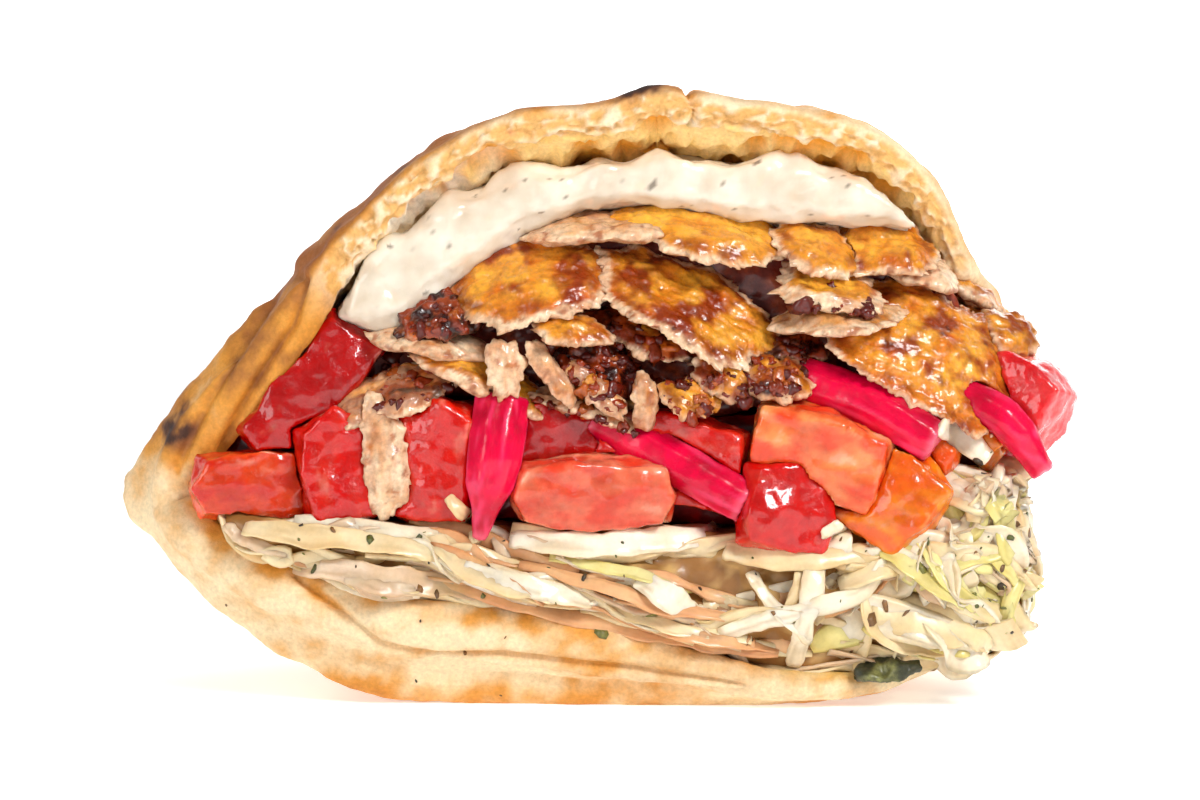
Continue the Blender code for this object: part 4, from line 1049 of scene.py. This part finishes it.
def filling_shred(tree, place, seed, rng):
    """A loose shred that crawls over the heap through a place: its points and faces."""
    length = rng.uniform(12, 38)
    turned, tipped = rng.gauss(0, 0.3), rng.gauss(-0.12, 0.3)
    heading = unit(np.array((1.0, turned, tipped - 0.012 * max(0, place.x - 40))))
    start = np.array(place) - heading * length / 2
    path, directions = crawled_path(tree, start, heading, rng.gauss(0, 0.03), length, seed)
    share = np.linspace(0, 1, FILL_STEPS)
    tilt = rng.gauss(0.35, 0.35) + rng.gauss(0, 0.5) * share
    sides = unit(np.cross(directions, unit(np.gradient(path, axis=0))))
    sides = sides * np.cos(tilt)[:, None] + directions * np.sin(tilt)[:, None]
    width = rng.uniform(2.6, 5.0) * (1.0 if place.x < OPEN_SIDE else rng.uniform(1.0, 2.6))
    widths = width * np.sin(np.pi * np.clip(0.12 + 0.76 * share, 0, 1)) ** 0.5
    points, faces = ribbon(path, sides, widths, rng.uniform(0.8, 1.4), rng.uniform(*SHRED_CUP), 8)
    return points + 0.14 * wobble(points, 2.2, 500 + seed), faces


def dress_slaw():
    """The slaw: the shreds that show in their places, and loose ones all over the heap behind them."""
    tree, _ = solid_tree("slaw")
    shown, owners = solid_tree(*(node for node in frame["nodes"] if node != "herb_leaf"))
    heap = Heap()
    rng = random.Random(SEED)
    for index, shred in enumerate(SHREDS + LOOSE_SHREDS):
        points, faces = placed_shred(shred, tree if index < len(SHREDS) else shown, index, rng)
        heap.add(points, faces, shred_tones(points, SHRED_STEPS, shred.tint, 400 + index), 0.65)
    for seed in range(1, FILL_SHREDS + 1):
        place, _, face = looked_at(shown, rng, *FILL_VIEWS[(seed - 1) % 2])
        if place is None or owners[face] != "slaw":
            continue
        points, faces = filling_shred(tree, place, seed, rng)
        if points[:, 2].min() < CLEAR_OF_TABLE:
            continue
        tints = OPEN_TINTS if place.x > OPEN_SIDE else FRONT_TINTS
        heap.add(points, faces, shred_tones(points, FILL_STEPS, rng.choice(tints), 700 + seed), 0.6)
    return heap.piece("cabbage_shreds", "slaw", LEAF, "slaw")


def crumb_shape(rng, seed):
    """Points and faces of a small uneven bit."""
    shape = bmesh.new()
    bmesh.ops.create_icosphere(shape, subdivisions=2, radius=1.0)
    points = np.array([v.co for v in shape.verts])
    shape.verts.index_update()
    faces = [[v.index for v in face.verts] for face in shape.faces]
    shape.free()
    rough = 1 + 0.8 * layered(points * 3, 3.0, seed, 3)
    squashed = (rng.uniform(0.6, 1.1), rng.uniform(0.6, 1.1), rng.uniform(0.5, 1.0))
    return points * rough[:, None] * squashed, faces


# The cuts that crumble: crusty bits lie on these.
CRUMBLY = (
    "_bed", "dark_left", "dark_middle", "dark_right", "middle_low", "crust_bit", "crust_chunk",
    "shred_middle", "brown_left", "flake_yellow", "long_middle", "fringe",
)
CRUMB_TRIES = 900
CRUMB_TONES = ((92, 22, 10), (138, 46, 16), (178, 86, 28), (226, 146, 52), (238, 206, 168))
HERB_TONES = ((84, 88, 34), (118, 116, 50), (62, 46, 24), (120, 82, 40))
HERB_CORNERS = 7
HERB_THICK = 0.22


def scatter_crumbs():
    """Crusty bits of chicken in the gaps between the cuts."""
    tree, owners = solid_tree(*frame["nodes"])
    heap = Heap()
    rng = random.Random(SEED + 1)
    colours = [linear(*colour) for colour in CRUMB_TONES]
    for index in range(CRUMB_TRIES):
        place, normal, face = looked_at(tree, rng, (-25, 60), (-5, 35), (16, -48, 66), (60, 4, 12))
        if place is None or not owners[face].endswith(CRUMBLY):
            continue
        size = rng.uniform(0.6, 2.4) * rng.uniform(0.5, 1.0)
        points, faces = crumb_shape(rng, 50 + index)
        points = points * size + np.array(place) - np.array(normal) * size * 0.3
        patch = noise(np.array([place]), 7, 41)[0] * 2.4 + rng.gauss(0.9, 0.7)
        colour = colours[int(min(len(colours) - 1, max(0, patch)))]
        heap.add(points, faces, colour * rng.uniform(0.75, 1.15), rng.uniform(0.3, 1.0))
    return heap


def scatter_herb(*strewn):
    """Flecks of dried herb: for each place its tree, how many, and where they are looked for."""
    heap = Heap()
    rng = random.Random(SEED + 2)
    colours = [linear(*colour) for colour in HERB_TONES]
    for tree, count, azimuths, spot, spread in strewn:
        for _ in range(count):
            place, out, _ = looked_at(tree, rng, azimuths, (-5, 40), spot, spread)
            if place is None:
                continue
            place, out = np.array(place), np.array(out)
            across = unit(np.cross(out, (rng.gauss(0, 1), rng.gauss(0, 1), rng.gauss(0, 1))))
            other = np.cross(out, across)
            size, slim = 0.3 + 1.3 * rng.random() ** 2, rng.uniform(0.25, 0.9)
            turns = 2 * np.pi * np.arange(HERB_CORNERS) / HERB_CORNERS
            reach = size * np.array([rng.uniform(0.6, 1.2) for _ in turns])
            flat = np.outer(np.cos(turns) * reach, across) + np.outer(np.sin(turns) * reach * slim, other)
            low = place + flat + np.outer(np.cos(turns) ** 2 * size * 0.12 - 0.05, out)
            sides, (under, top) = tube_faces(2, HERB_CORNERS)
            points, faces = np.vstack([low, low + out * HERB_THICK]), sides.tolist() + [under[::-1], top]
            heap.add(points, faces, rng.choice(colours) * rng.uniform(0.7, 1.2), 0.4)
    return heap.piece("herb_flecks", "herb", HERB)


bread = dress_bread()
scraps = scatter_crumbs()
for order, (key, cut) in enumerate(CUTS.items()):
    dress_chicken(key, cut, 100 + 13 * order)
for order, (key, dice) in enumerate(DICE.items()):
    dress_tomato(key, dice, 600 + 7 * order)
for order, key in enumerate(("upright", "centre", "right", "far_right")):
    dress_pickle(key, 800 + 9 * order)
dress_sauce()
# The chicken behind the cuts has a roasted colour, painted darker as shade in the gaps.
dress_bed("chicken_bed", "chicken_behind_painted_shade", 1.0, (112, 30, 12), (186, 82, 32), "chicken", MEAT, 901)
dress_bed("tomato_bed", "tomato_behind", 1.2, (120, 4, 6), (196, 16, 12), "tomato", FRUIT, 921)
# The slaw's core is a deep tan: painted shade for the gaps between the shreds.
dress_bed("slaw", "slaw_core_painted_shade", 1.2, (150, 104, 52), (206, 168, 104), "slaw", LEAF, 941)
scraps.piece("chicken_scraps", "chicken", MEAT)
shreds = dress_slaw()
on_slaw, on_bread = tree_of(shreds.data), tree_of(bread.data)
scatter_herb(
    (on_slaw, 75, (-20, 30), (10, -48, 24), (75, 3, 15)),
    (on_slaw, 55, (20, 110), (72, -28, 28), (20, 20, 20)),
    (on_bread, 14, (-10, 10), (-40, -50, 14), (45, 2, 10)),
)
dress_bed("herb_leaf", "wet_leaf", 0.4, (44, 46, 20), (132, 132, 72), "herb", HERB, 961)

# The camera stands where the photograph was taken from, level with the pocket and close to it.
scene = bpy.context.scene
scene.view_settings.view_transform = "Standard"


def aim(made, place, target):
    made.location = Vector(place)
    made.rotation_mode = "QUATERNION"
    made.rotation_quaternion = (Vector(target) - Vector(place)).to_track_quat("-Z", "Y")
    scene.collection.objects.link(made)


camera = bpy.data.objects.new("camera", bpy.data.cameras.new("camera"))
camera.data.lens = 85
camera.data.sensor_width = 36
camera.data.clip_start = 0.01
TARGET = (0, -0.050, 0.0618)
RISE = math.radians(3)
DISTANCE = 0.5667
aim(camera, (0, TARGET[1] - DISTANCE * math.cos(RISE), TARGET[2] + DISTANCE * math.sin(RISE)), TARGET)
scene.camera = camera

# A white studio: a large soft light from the front right, a weaker one from the left and a bright room.
for name, place, size, power in (
    ("key", (0.35, -0.55, 0.50), 0.22, 4.8),
    ("fill", (-0.55, -0.50, 0.25), 0.35, 1.7),
    ("back", (0.25, 0.50, 0.55), 0.4, 2.0),
):
    lamp = bpy.data.lights.new(name, "AREA")
    lamp.size = size
    lamp.energy = power
    aim(bpy.data.objects.new(name, lamp), place, (0, 0, 0.06))
world = bpy.data.worlds.new("room")
scene.world = world
world.use_nodes = True
world.node_tree.nodes["Background"].inputs["Color"].default_value = (1, 1, 1, 1)
world.node_tree.nodes["Background"].inputs["Strength"].default_value = 0.16
for name, corners, glow in (
    ("floor", [(-4, -2, 0), (4, -2, 0), (4, 2.5, 0), (-4, 2.5, 0)], 0.42),
    ("backdrop", [(-6, 2.5, -0.5), (6, 2.5, -0.5), (6, 2.5, 4), (-6, 2.5, 4)], 1.0),
):
    sheet = bpy.data.meshes.new(name)
    sheet.from_pydata(corners, [], [(0, 1, 2, 3)])
    stood = bpy.data.objects.new(name, sheet)
    scene.collection.objects.link(stood)
    paper = bpy.data.materials.new(name + "_paper")
    paper.use_nodes = True
    white = paper.node_tree.nodes["Principled BSDF"].inputs
    white["Base Color"].default_value = (0.92, 0.92, 0.92, 1)
    white["Roughness"].default_value = 0.9
    white["Emission Color"].default_value = (1, 1, 1, 1)
    white["Emission Strength"].default_value = glow
    sheet.materials.append(paper)
